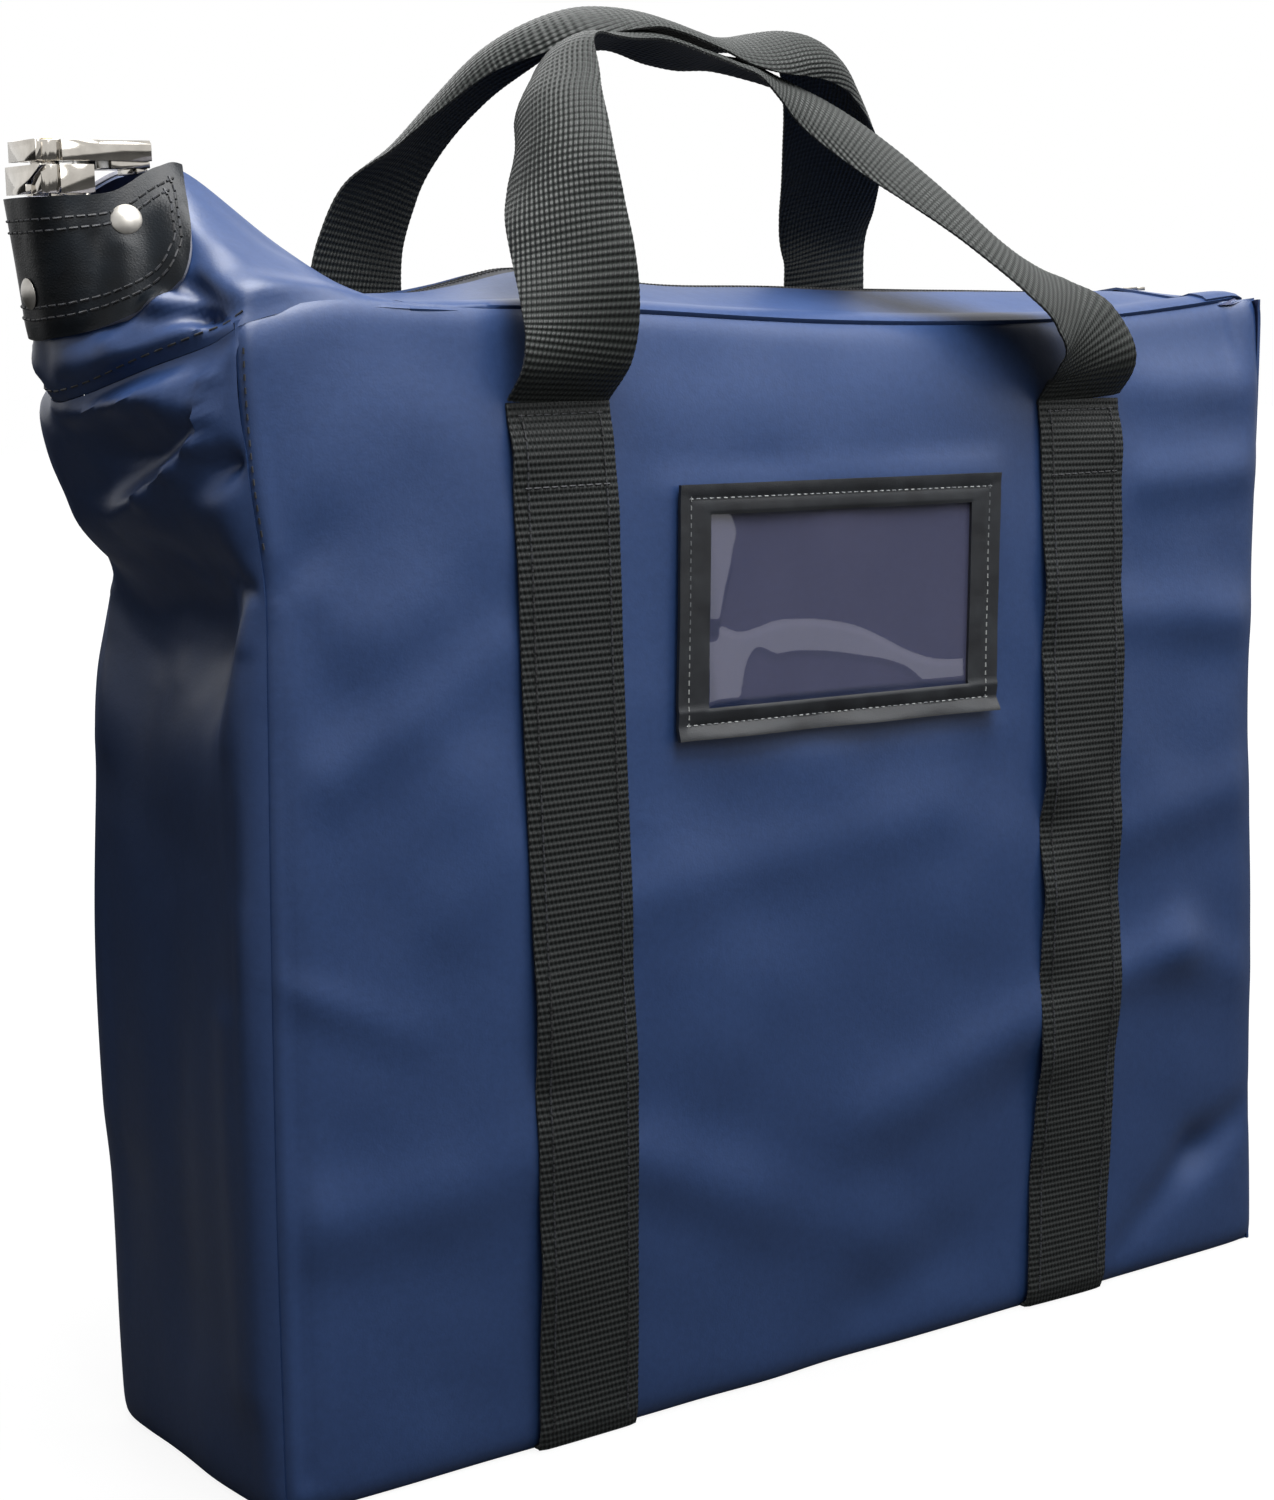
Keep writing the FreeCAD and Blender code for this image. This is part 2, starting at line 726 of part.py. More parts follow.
def zipper_slider():
    half = slider_length / 2
    wide = slider_half_width
    slider = box(-half, half, -wide, wide, plate_low, plate_high)
    slider = slider.fuse(box(-half, half, -wide, wide, -plate_high, -plate_low))
    for side in (-1, 1):
        y = sorted((side * flange_inner, side * wide))
        slider = slider.fuse(box(-half, half, *y, flange_low, plate_low))
        slider = slider.fuse(box(-half, half, *y, -plate_low, -flange_low))
    slider = slider.fuse(box(-half, -half + 4, -wedge_half_width, wedge_half_width, -plate_low, plate_low))
    bridge = box(-3.2, 3.2, -bridge_half_width, bridge_half_width, plate_high, bridge_top)
    window = box(-1.9, 1.9, -2, 2, plate_high + 0.2, bridge_top - 0.45)
    slider = slider.fuse(bridge.cut(window))
    return on_ear(slider.removeSplitter(), slider_x)


def slider_pull():
    low = pull_rod_height - pull_rod_radius
    high = pull_rod_height + pull_rod_radius
    rod_end = Vec(0, -pull_half_width, pull_rod_height)
    pull = cylinder(pull_rod_radius, rod_end, AXIS_Y, 2 * pull_half_width)
    for side in (-1, 1):
        y = sorted((side * 1.5, side * pull_half_width))
        pull = pull.fuse(box(0, 6, *y, low, high))
    pull = pull.fuse(box(4.5, pull_length, -pull_half_width, pull_half_width, low, high))
    eye = cylinder(1.6, Vec(pull_length - 3.2, 0, low - 1), AXIS_Z, 4)
    return on_ear(pull.cut(eye).removeSplitter(), slider_x)


# Card pocket

def pocket_plate(width, height, depth, thickness):
    outer = -half_depth - depth
    return box(-width / 2, width / 2, outer - thickness, outer, -height / 2, height / 2)


def placed_on_front(plate):
    plate.rotate(Vec(0, 0, 0), AXIS_Y, pocket_tilt)
    plate.translate(Vec(pocket_x, 0, pocket_z))
    return plate


def card_backing():
    return placed_on_front(pocket_plate(pocket_width - 4, pocket_height - 4, 0.05, 0.4))


def card_window():
    return placed_on_front(pocket_plate(pocket_window_width + 10, pocket_window_height + 10, 0.6, 0.4))


def card_frame():
    frame = pocket_plate(pocket_width, pocket_height, 1.05, pocket_frame)
    opening = pocket_plate(pocket_window_width, pocket_window_height, 0, 6)
    return placed_on_front(frame.cut(opening))


parts = {
    "front_panel": upright_panel(-1),
    "back_panel": upright_panel(1),
    "left_gusset": left_gusset(),
    "right_gusset": right_gusset(),
    "base_panel": base_panel(),
    "base_board": base_board(),
    "right_end_tab": right_end_tab(),
    "ear_front_wall": ear_wall(-1),
    "ear_back_wall": ear_wall(1),
    "leather_collar": leather_collar(),
    "collar_rivets": collar_rivets(),
    "ear_zipper_tape": ear_zipper_tape(),
    "ear_zipper_teeth": ear_zipper_teeth(),
    "zipper_end_stop": zipper_end_stop(),
    "front_left_strap": sewn_strap(-1, left_strap_x, left_strap_x, left_sewn_height),
    "front_right_strap": sewn_strap(-1, right_strap_foot_x, front_right_top_x, right_sewn_height),
    "back_left_strap": sewn_strap(1, left_strap_x, left_strap_x, left_sewn_height),
    "back_right_strap": sewn_strap(1, right_strap_foot_x, back_right_top_x, right_sewn_height),
    "base_left_strap": base_strap(left_strap_x),
    "base_right_strap": base_strap(right_strap_foot_x),
    "card_backing": card_backing(),
    "card_window": card_window(),
    "card_frame": card_frame(),
    "lock_body": lock_body(),
    "lock_anchor_plate": lock_anchor_plate(),
    "lock_cap": lock_cap(),
    "lock_barrel": lock_barrel(),
    "cap_studs": cap_studs(),
    "cap_spring": cap_spring(),
    "driver_pins": driver_pins(),
    "key_plug": key_plug(),
    "key_pins": key_pins(),
    "lock_cam": lock_cam(),
    "zipper_slider": zipper_slider(),
    "slider_pull": slider_pull(),
    "front_flap": zip_flap(-1),
    "front_zipper_tape": zip_tape(-1),
    "front_zipper_teeth": zip_teeth(-1),
    "back_flap": zip_flap(1),
    "back_zipper_tape": zip_tape(1),
    "back_zipper_teeth": zip_teeth(1),
    "front_handle": front_handle(),
    "back_handle": back_handle(),
}

os.makedirs("parts", exist_ok=True)
for name, shape in parts.items():
    shape.exportStep(os.path.join("parts", name + ".step"))
    print(name, "solids", len(shape.Solids), "volume", round(shape.Volume, 1), "valid", shape.isValid())
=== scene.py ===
import math
import bmesh
import bpy
import numpy as np
from mathutils import Matrix, Vector


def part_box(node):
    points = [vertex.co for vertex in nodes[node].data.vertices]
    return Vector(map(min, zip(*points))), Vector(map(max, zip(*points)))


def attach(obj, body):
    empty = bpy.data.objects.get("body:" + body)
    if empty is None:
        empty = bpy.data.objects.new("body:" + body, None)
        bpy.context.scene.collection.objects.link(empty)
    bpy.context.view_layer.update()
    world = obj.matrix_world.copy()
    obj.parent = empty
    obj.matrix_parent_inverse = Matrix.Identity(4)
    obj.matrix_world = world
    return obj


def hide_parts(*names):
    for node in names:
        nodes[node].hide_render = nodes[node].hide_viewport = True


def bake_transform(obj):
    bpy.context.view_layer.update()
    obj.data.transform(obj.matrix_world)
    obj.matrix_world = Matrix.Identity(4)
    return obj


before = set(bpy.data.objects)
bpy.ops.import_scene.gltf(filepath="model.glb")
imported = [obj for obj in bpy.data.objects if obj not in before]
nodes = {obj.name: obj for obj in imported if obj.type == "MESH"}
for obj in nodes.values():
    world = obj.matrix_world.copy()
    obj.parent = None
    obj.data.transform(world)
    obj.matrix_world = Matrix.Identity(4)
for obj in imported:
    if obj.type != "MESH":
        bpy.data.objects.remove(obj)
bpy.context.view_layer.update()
mm = 0.001


# small tools

def corners(node):  # lowest and highest corner of a CAD node, in mm
    low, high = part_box(node)
    return np.array(low) / mm, np.array(high) / mm


def hermite(t, h, low, high, lowSlope, highSlope):  # cubic between two values, with its slopes there
    return ((2 * t**3 - 3 * t**2 + 1) * low + (t**3 - 2 * t**2 + t) * h * lowSlope
            + (3 * t**2 - 2 * t**3) * high + (t**3 - t**2) * h * highSlope)


def through(points, at):  # smooth curve through a few (place, value) points
    places = np.array([place for place, _ in points], float)
    values = np.array([value for _, value in points], float)
    slopes = np.gradient(values, places, axis=0)
    at = np.asarray(at, float)
    i = np.clip(np.searchsorted(places, at) - 1, 0, len(places) - 2)
    h = places[i + 1] - places[i]
    t = np.clip((at - places[i]) / h, 0, 1)
    if values.ndim > 1:
        h, t = h[..., None], t[..., None]
    return hermite(t, h, values[i], values[i + 1], slopes[i], slopes[i + 1])


def smooth(t):
    t = np.clip(t, 0, 1)
    return t * t * (3 - 2 * t)


# Ridges and dents along straight lines. A fold is a row: its two ends, its width at each, its rise at each
def creases(u, v, folds):
    total = np.zeros(np.broadcast(u, v).shape)
    for u0, v0, u1, v1, wide0, wide1, rise0, rise1 in folds:
        du, dv = u1 - u0, v1 - v0
        t = np.clip(((u - u0) * du + (v - v0) * dv) / (du * du + dv * dv), 0, 1)
        away = np.hypot(u - u0 - t * du, v - v0 - t * dv)
        total += (rise0 + (rise1 - rise0) * t) * np.exp(-(away / (wide0 + (wide1 - wide0) * t)) ** 2)
    return total


def ripples(u, v, seed, height, shortest=26, longest=95):  # slack in the cloth, the same each run
    rng = np.random.default_rng(seed)
    total = np.zeros(np.broadcast(u, v).shape)
    for _ in range(14):
        wave = rng.uniform(shortest, longest)
        turn = rng.uniform(0, math.pi)
        total += wave / longest * np.sin(
            2 * math.pi * (u * math.cos(turn) + v * math.sin(turn)) / wave + rng.uniform(0, 6.3))
    return total * height / 4


def spacing(length, step, edge=(0, 0.6, 1.3, 2.2, 3.4, 5, 7, 9.5)):  # shares of a length, closer at both ends
    inner = np.linspace(edge[-1], length - edge[-1], max(2, round((length - 2 * edge[-1]) / step)))
    places = np.concatenate([edge[:-1], inner, length - np.array(edge[-2::-1])])
    return places / length


def unit(vectors):
    return vectors / np.maximum(np.linalg.norm(vectors, axis=-1, keepdims=True), 1e-9)


# meshes

def newPiece(name, points, faces, materials, uv=None, sharp=50):
    mesh = bpy.data.meshes.new(name)
    faces = faces if isinstance(faces, list) else faces.tolist()
    mesh.from_pydata((np.asarray(points, float) * mm).tolist(), [], faces)
    if uv is not None:
        layer = mesh.uv_layers.new(name="UVMap")
        order = np.zeros(len(mesh.loops), int)
        mesh.loops.foreach_get("vertex_index", order)
        layer.data.foreach_set("uv", (np.asarray(uv, float)[order] * 0.01).astype(np.float32).ravel())
    for material in materials:
        mesh.materials.append(material)
    piece = bpy.data.objects.new(name, mesh)
    bpy.context.scene.collection.objects.link(piece)
    shadeSmooth(piece, sharp)
    return piece


def shadeSmooth(piece, sharp):
    mesh = piece.data
    mesh.polygons.foreach_set("use_smooth", [True] * len(mesh.polygons))
    mesh.set_sharp_from_angle(angle=math.radians(sharp))


def gridFaces(rows, columns, wrap=False, turn=False):
    index = np.arange(rows * columns).reshape(rows, columns)
    if wrap:
        index = np.hstack([index, index[:, :1]])
    faces = np.stack([index[:-1, :-1], index[:-1, 1:], index[1:, 1:], index[1:, :-1]], -1).reshape(-1, 4)
    return faces[:, ::-1] if turn else faces


def gridPiece(name, points, material, uv=None, turn=False, sharp=50):
    rows, columns = points.shape[:2]
    faces = gridFaces(rows, columns, turn=turn)
    flatUv = None if uv is None else uv.reshape(-1, 2)
    return newPiece(name, points.reshape(-1, 3), faces, [material], flatUv, sharp)


def settle(piece, sharp=50):  # turns modifiers into plain mesh
    evaluated = piece.evaluated_get(bpy.context.evaluated_depsgraph_get())
    mesh = bpy.data.meshes.new_from_object(evaluated)
    piece.modifiers.clear()
    piece.data = mesh
    mesh.name = piece.name
    shadeSmooth(piece, sharp)
    return piece


def thicken(piece, thickness, inner=None, rim=None, sharp=50):
    solid = piece.modifiers.new("thickness", "SOLIDIFY")
    solid.thickness = thickness * mm
    solid.offset = -1
    solid.use_quality_normals = True
    for material, setting in ((inner, "material_offset"), (rim, "material_offset_rim")):
        if material:
            piece.data.materials.append(material)
            setattr(solid, setting, len(piece.data.materials) - 1)
    return settle(piece, sharp)


def place(piece, body, slot, *replaced):
    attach(piece, body)
    if replaced:
        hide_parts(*replaced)
    return piece


# materials

def srgb(code):
    parts = [int(code[i:i + 2], 16) / 255 for i in (1, 3, 5)]
    return tuple(c / 12.92 if c <= 0.04045 else ((c + 0.055) / 1.055) ** 2.4 for c in parts) + (1,)


def setInputs(tree, node, values):  # plain values, or sockets to join; a node stands for its first output
    for key, value in values.items():
        if isinstance(value, bpy.types.Node):
            value = value.outputs[0]
        if isinstance(value, bpy.types.NodeSocket):
            tree.links.new(value, node.inputs[key])
        else:
            node.inputs[key].default_value = value


def addNode(tree, kind, inputs=None, stops=(), **settings):  # stops of a colour ramp, as (position, colour)
    node = tree.nodes.new(kind)
    for key, value in settings.items():
        setattr(node, key, value)
    for index, (position, colour) in enumerate(stops):
        stop = node.color_ramp.elements[index]
        stop.position, stop.color = position, srgb(colour)
    setInputs(tree, node, inputs or {})
    return node


def newMaterial(name, **values):
    material = bpy.data.materials.new(name)
    material.use_nodes = True
    tree = material.node_tree
    shader = tree.nodes["Principled BSDF"]
    setInputs(tree, shader, {key.replace("_", " "): value for key, value in values.items()})
    return material, tree, shader


# Laminated nylon, a tight plain weave with a satin coat: broad soft highlights, faint press marks
def laminatedNylon(name, dark, light, roughness):
    material, tree, shader = newMaterial(name, Specular_IOR_Level=0.45)
    at = addNode(tree, "ShaderNodeTexCoord").outputs["Object"]
    patches = addNode(tree, "ShaderNodeTexNoise", {"Vector": at, "Scale": 1000 / 70, "Detail": 3.0})
    streaks = addNode(tree, "ShaderNodeTexNoise", {"Vector": at, "Scale": 1000 / 2.2, "Detail": 2.0})
    mixed = addNode(tree, "ShaderNodeMath", {0: patches, 1: streaks}, operation="ADD")
    half = addNode(tree, "ShaderNodeMath", {0: mixed, 1: 0.5}, operation="MULTIPLY")
    colour = addNode(tree, "ShaderNodeValToRGB", {"Fac": half}, ((0.36, dark), (0.64, light)))
    # the real threads lie 0.3 mm apart; 0.8 mm is the finest that shows
    threads = addNode(tree, "ShaderNodeTexNoise", {"Vector": at, "Scale": 1000 / 0.8, "Detail": 2.0})
    dents = addNode(tree, "ShaderNodeTexNoise", {"Vector": at, "Scale": 1000 / 14, "Detail": 4.0})
    rough = addNode(tree, "ShaderNodeMapRange", {"Value": dents, 3: roughness - 0.04, 4: roughness + 0.05})
    fine = addNode(tree, "ShaderNodeBump", {"Height": threads, "Distance": 0.06 * mm, "Strength": 0.6})
    broad = addNode(tree, "ShaderNodeBump", {
        "Height": dents, "Distance": 0.5 * mm, "Strength": 0.35, "Normal": fine})
    setInputs(tree, shader, {"Base Color": colour, "Roughness": rough, "Normal": broad})
    return material


# Polypropylene webbing, plain woven: rows of short loops over a hidden weft, matt grey on the loops, with
# painted shade darkening the hollows between them
def webbingYarn(name, dark, light):
    material, tree, shader = newMaterial(name, Roughness=0.55, Specular_IOR_Level=0.32)
    uv = addNode(tree, "ShaderNodeUVMap", uv_map="UVMap")
    split = addNode(tree, "ShaderNodeSeparateXYZ", {"Vector": uv}).outputs
    wobble = addNode(tree, "ShaderNodeTexNoise", {"Vector": uv, "Scale": 18.0, "Detail": 1.0})
    columnTurns, ribTurns = [2 * math.pi * 100 / webbing[pitch] for pitch in ("columnPitch", "ribPitch")]
    across = addNode(tree, "ShaderNodeMath", {0: split["X"], 1: columnTurns}, operation="MULTIPLY")
    along = addNode(tree, "ShaderNodeMath", {0: split["Y"], 1: ribTurns}, operation="MULTIPLY")
    slant = addNode(tree, "ShaderNodeMath", {0: along, 1: 0.25, 2: across}, operation="MULTIPLY_ADD")
    slanted = addNode(tree, "ShaderNodeMath", {0: wobble, 1: 1.2, 2: slant}, operation="MULTIPLY_ADD")
    loops = addNode(tree, "ShaderNodeMath", {0: slanted}, operation="SINE")
    rows = addNode(tree, "ShaderNodeMath", {0: along}, operation="SINE")
    both = addNode(tree, "ShaderNodeMath", {0: loops, 1: 1.5, 2: rows}, operation="MULTIPLY_ADD")
    height = addNode(tree, "ShaderNodeMapRange", {"Value": both, 1: -2.3, 2: 2.3})
    # painted shade: the colour goes dark where the rib and loop height is low, in the hollows between the
    # loops
    colour = addNode(tree, "ShaderNodeValToRGB", {"Fac": height}, ((0.22, dark), (0.6, light)))
    bump = addNode(tree, "ShaderNodeBump", {"Height": height, "Distance": 0.5 * mm, "Strength": 1.0})
    setInputs(tree, shader, {"Base Color": colour, "Normal": bump})
    return material


# Cowhide with a corrected grain, or pressed leatherette: small cells with rounded tops
def grainedLeather(name, dark, light, roughness, grain, shine=0.35):
    material, tree, shader = newMaterial(name, Specular_IOR_Level=shine)
    at = addNode(tree, "ShaderNodeTexCoord").outputs["Object"]
    cells = addNode(tree, "ShaderNodeTexVoronoi", {"Vector": at, "Scale": 1000 / grain},
                    feature="DISTANCE_TO_EDGE")
    cloud = addNode(tree, "ShaderNodeTexNoise", {"Vector": at, "Scale": 1000 / 9, "Detail": 4.0})
    colour = addNode(tree, "ShaderNodeValToRGB", {"Fac": cloud}, ((0.35, dark), (0.7, light)))
    rough = addNode(tree, "ShaderNodeMapRange", {"Value": cloud, 3: roughness - 0.08, 4: roughness + 0.1})
    bump = addNode(tree, "ShaderNodeBump", {
        "Height": cells.outputs["Distance"], "Distance": 0.12 * mm, "Strength": 0.55})
    soft = addNode(tree, "ShaderNodeBump", {
        "Height": cloud, "Distance": 0.6 * mm, "Strength": 0.4, "Normal": bump})
    setInputs(tree, shader, {"Base Color": colour, "Roughness": rough, "Normal": soft})
    return material


# Metal with fine scratches: plated zinc, plain steel or turned brass
def scratchedMetal(name, colour, dull, roughness):
    material, tree, shader = newMaterial(name, Metallic=1.0)
    at = addNode(tree, "ShaderNodeTexCoord").outputs["Object"]
    cloud = addNode(tree, "ShaderNodeTexNoise", {"Vector": at, "Scale": 1000 / 5, "Detail": 5.0})
    stains = addNode(tree, "ShaderNodeValToRGB", {"Fac": cloud}, ((0.3, dull), (0.72, colour)))
    lines = addNode(tree, "ShaderNodeMapping", {"Vector": at, "Scale": (1000 / 4, 1000 / 4, 1000 / 0.25)})
    scratches = addNode(tree, "ShaderNodeTexNoise", {"Vector": lines, "Scale": 1.0, "Detail": 3.0})
    rough = addNode(tree, "ShaderNodeMapRange", {
        "Value": scratches, 3: roughness * 0.85, 4: roughness * 1.2})
    bump = addNode(tree, "ShaderNodeBump", {"Height": scratches, "Distance": 0.01 * mm, "Strength": 0.3})
    setInputs(tree, shader, {"Base Color": stains, "Roughness": rough, "Normal": bump})
    return material


# Clear soft vinyl: a faint haze and a wet-looking shine
def clearVinyl():
    material, tree, shader = newMaterial("clear vinyl", Roughness=0.05, Alpha=0.3, IOR=2.3)
    at = addNode(tree, "ShaderNodeTexCoord").outputs["Object"]
    haze = addNode(tree, "ShaderNodeTexNoise", {"Vector": at, "Scale": 1000 / 30, "Detail": 2.0})
    colour = addNode(tree, "ShaderNodeValToRGB", {"Fac": haze}, ((0.3, "#5f5c72"), (0.7, "#66637a")))
    setInputs(tree, shader, {"Base Color": colour})
    return material


# Twisted polyester thread and woven zip tape: fine diagonal ribs
def twill(name, dark, light, pitch):
    material, tree, shader = newMaterial(name, Roughness=0.6)
    at = addNode(tree, "ShaderNodeTexCoord").outputs["Object"]
    turned = addNode(tree, "ShaderNodeMapping", {"Vector": at, "Rotation": (0, 0, math.radians(40))})
    waves = addNode(tree, "ShaderNodeTexWave", {
        "Vector": turned, "Scale": 1000 / pitch / 20, "Distortion": 1.2, "Detail": 2.0}).outputs["Fac"]
    colour = addNode(tree, "ShaderNodeValToRGB", {"Fac": waves}, ((0.2, dark), (0.8, light)))
    bump = addNode(tree, "ShaderNodeBump", {"Height": waves, "Distance": 0.1 * mm, "Strength": 0.6})
    setInputs(tree, shader, {"Base Color": colour, "Normal": bump})
    return material


webbing = {
    "width": 38.0,
    "thickness": 1.9,
    "step": 0.6,           # between the rows of the mesh, about four of them to a rib
    "ribPitch": 2.15,
    "ribDepth": 0.06,
    "columnPitch": 1.56,
    "across": 15,          # points over half of the section's outline
    "standOff": 1.1,       # from the cloth to its inner face
    "ribsSewn": 139,       # ribs up a sewn length, where a handle's own ribs start to count
}

nylon = laminatedNylon("laminated nylon", "#20355c", "#263c65", 0.42)
nylonInside = laminatedNylon("nylon backing", "#141d3c", "#182348", 0.6)
# two copies of one webbing: the handles' copy is painted lighter and the sewn straps' copy darker, painted
# light and painted shade for how the light falls on them
paintedLitYarn = webbingYarn("polypropylene webbing", "#050606", "#242826")
paintedShadeYarn = webbingYarn("polypropylene webbing, painted darker", "#020303", "#171b1b")
collarLeather = grainedLeather("corrected grain cowhide", "#06090d", "#0b1117", 0.38, 0.9, 0.16)
rawEdge = grainedLeather("split leather edge", "#6f7079", "#8d8e98", 0.8, 0.5)
leatherette = grainedLeather("pressed leatherette", "#14161a", "#202327", 0.4, 0.6, 0.42)
vinyl = clearVinyl()
tape = twill("polyester zip tape", "#0c0e14", "#191c24", 0.9)
coilNylon = twill("nylon zip coil", "#0a0b0d", "#1c1e22", 0.5)
darkThread = twill("bonded nylon thread", "#0b0c0f", "#24262b", 0.4)
greyThread = twill("grey polyester thread", "#55585b", "#8b8e8d", 0.4)
nickel = scratchedMetal("nickel plated zinc", "#cbc6be", "#b5b0a8", 0.12)
rivetNickel = scratchedMetal("satin nickel", "#b9b6b1", "#98958f", 0.4)
zipMetal = scratchedMetal("nickel plated slider", "#c9c5bd", "#a7a39a", 0.28)
steel = scratchedMetal("plain steel", "#a9a9a8", "#8c8c8b", 0.35)
brass = scratchedMetal("turned brass", "#c8a862", "#a98b4a", 0.25)
boardPlastic = grainedLeather("embossed polyethylene board", "#17181a", "#1f2123", 0.6, 1.6)
print("materials ready")


# camera, light and stage

camera = {
    "place": (-0.5928, -0.7873, 0.3653),
    "turn": 0.615,         # radians from +Y towards +X
    "down": 0.158,
    "roll": -0.019,
    "lens": 68.36,
}


def makeCamera():
    turn, down, roll = camera["turn"], camera["down"], camera["roll"]
    ahead = Vector((math.sin(turn) * math.cos(down), math.cos(turn) * math.cos(down), -math.sin(down)))
    right = Vector((math.cos(turn), -math.sin(turn), 0))
    up = right.cross(ahead)
    tiltedRight = right * math.cos(roll) + up * math.sin(roll)
    tiltedUp = up * math.cos(roll) - right * math.sin(roll)
    data = bpy.data.cameras.new("camera")
    data.lens = camera["lens"]
    data.sensor_width = 36
    data.clip_start = 0.01
    eye = bpy.data.objects.new("camera", data)
    bpy.context.scene.collection.objects.link(eye)
    turned = Matrix((tiltedRight, tiltedUp, -ahead)).transposed().to_4x4()
    eye.matrix_world = Matrix.Translation(camera["place"]) @ turned
    bpy.context.scene.camera = eye


lamps = {
    # name: place, watts, size
    "sky": ((0.0, -0.34, 1.4), 38, 1.0),
    "front": ((-0.3, -2.2, 1.9), 20, 1.6),
    "right": ((1.7, -1.5, 1.9), 16, 1.4),
    "behind": ((0.4, 2.0, 1.8), 27, 1.8),
}


def makeLights():
    for name, (spot, watts, size) in lamps.items():
        data = bpy.data.lights.new(name, "AREA")
        data.energy = watts
        data.shape = "DISK"
        data.size = size
        lamp = bpy.data.objects.new(name, data)
        lamp.location = spot
        lamp.rotation_euler = (Vector((0, 0, 0.2)) - Vector(spot)).to_track_quat("-Z", "Y").to_euler()
        bpy.context.scene.collection.objects.link(lamp)


# white to the eye and through clear pieces, a strength of its own in reflections, a plain one for the rest
def seenWhite(tree, plain, strength, reflected):
    path = addNode(tree, "ShaderNodeLightPath").outputs
    seen = addNode(tree, "ShaderNodeMath", {0: path["Is Camera Ray"], 1: path["Is Transmission Ray"]},
                   operation="MAXIMUM")
    glossy = addNode(tree, "ShaderNodeMapRange", {"Value": path["Is Glossy Ray"], 3: plain, 4: reflected})
    direct = addNode(tree, "ShaderNodeMath", {0: seen, 1: strength}, operation="MULTIPLY")
    return addNode(tree, "ShaderNodeMath", {0: direct, 1: glossy}, operation="MAXIMUM")


def makeStage():
    world = bpy.data.worlds.new("studio")
    world.use_nodes = True
    tree = world.node_tree
    background = tree.nodes["Background"]
    background.inputs["Color"].default_value = (1, 1, 1, 1)
    setInputs(tree, background, {"Strength": seenWhite(tree, 0.05, 1.0, 1.0)})
    bpy.context.scene.world = world
    reach = 6000
    floor = newPiece("floor", [(-reach, -reach, -0.05), (reach, -reach, -0.05), (reach, reach, -0.05),
                               (-reach, reach, -0.05)], [(0, 1, 2, 3)], [floorMaterial()])
    # two cards out of shot, for reflections only: black to keep the white background out of the left side's
    # sheen, and white above it, where the lock would mirror the floor's far end
    dark, light = (0, 0, 0, 1), (1, 1, 1, 1)
    black = newMaterial("black card", Base_Color=dark, Roughness=1.0)[0]
    white = newMaterial("white card", Base_Color=dark, Emission_Color=light, Emission_Strength=1.0)[0]
    for name, low, high, material in (("blackCard", 0, 320, black), ("whiteCard", 320, 520, white)):
        card = newPiece(name, [(-1500, 100, low), (20, 860, low), (20, 860, high), (-1500, 100, high)],
                        [(0, 1, 2, 3)], [material])
        for ray in ("camera", "diffuse", "transmission", "volume_scatter", "shadow"):
            setattr(card, "visible_" + ray, False)


def floorMaterial():
    material, tree, shader = newMaterial("matt floor", Roughness=0.9, Emission_Color=(1, 1, 1, 1))
    at = addNode(tree, "ShaderNodeTexCoord").outputs["Object"]
    specks = addNode(tree, "ShaderNodeTexNoise", {"Vector": at, "Scale": 40.0})
    colour = addNode(tree, "ShaderNodeValToRGB", {"Fac": specks}, ((0.3, "#3c3c3c"), (0.7, "#404040")))
    # a little less than white close to the bag, so that its shadow shows there
    spread = addNode(tree, "ShaderNodeMapping", {"Vector": at, "Scale": (1 / 0.9, 1 / 0.9, 1)})
    ball = addNode(tree, "ShaderNodeTexGradient", {"Vector": spread}, gradient_type="SPHERICAL")
    near = addNode(tree, "ShaderNodeMapRange", {"Value": ball.outputs["Fac"], 3: 1.0, 4: 0.86})
    setInputs(tree, shader, {"Base Color": colour, "Emission Strength": seenWhite(tree, 0.0, near, 0.0)})
    return material


makeCamera()
makeLights()
makeStage()
bpy.context.scene.view_settings.view_transform = "Standard"
print("camera, lights and floor ready")


# fabric body

panelHigh = corners("front_panel")[1]
halfLength = panelHigh[0]
halfDepth = corners("back_panel")[1][1]

body = {
    "fabric": 1.0,
    "step": 3.2,
    "faceInset": 0.6,      # the front and back lie this far inside the CAD faces
    "seamInset": 2.4,      # the seams lie this far inside the faces that they join
    "turnIn": 2.6,         # over this distance the cloth turns in to a seam
    # how the side seams wander, as (height, x)
    "frontLeftSeam": [(0, -211.5), (100, -210.6), (190, -208.6), (252, -206.9), (284, -206.4),
                      (315, -209.8), (338, -211.2), (370, -211.4)],
    "frontRightSeam": [(0, 211.4), (56, 209.2), (135, 208.2), (212, 205.4), (264, 206.6), (330, 209),
                       (370, 210.2)],
    "backLeftSeam": [(0, -211.5), (107, -212), (174, -212), (220, -210.6), (252, -208.6), (266, -205),
                     (284, -201), (302, -205.5), (330, -209.6), (370, -210.6)],
    "backRightSeam": [(0, 211.5), (90, 209.5), (180, 207), (250, 208), (320, 209.5), (370, 210.5)],
    # top seams, as (x, height)
    "frontTopSeam": [(-214, 359.4), (-200, 363), (-183, 365.6), (-149, 364.4), (-117, 362.6), (-73, 360.2),
                     (-50, 358.8), (11, 355.2), (78, 353.6), (140, 354.6), (180, 357.4), (212, 360.6)],
    "backTopSeam": [(-214, 359.8), (-183, 364.5), (-149, 363.6), (-90, 361), (-20, 357.5), (60, 358.5),
                    (140, 356.5), (212, 360.4)],
}

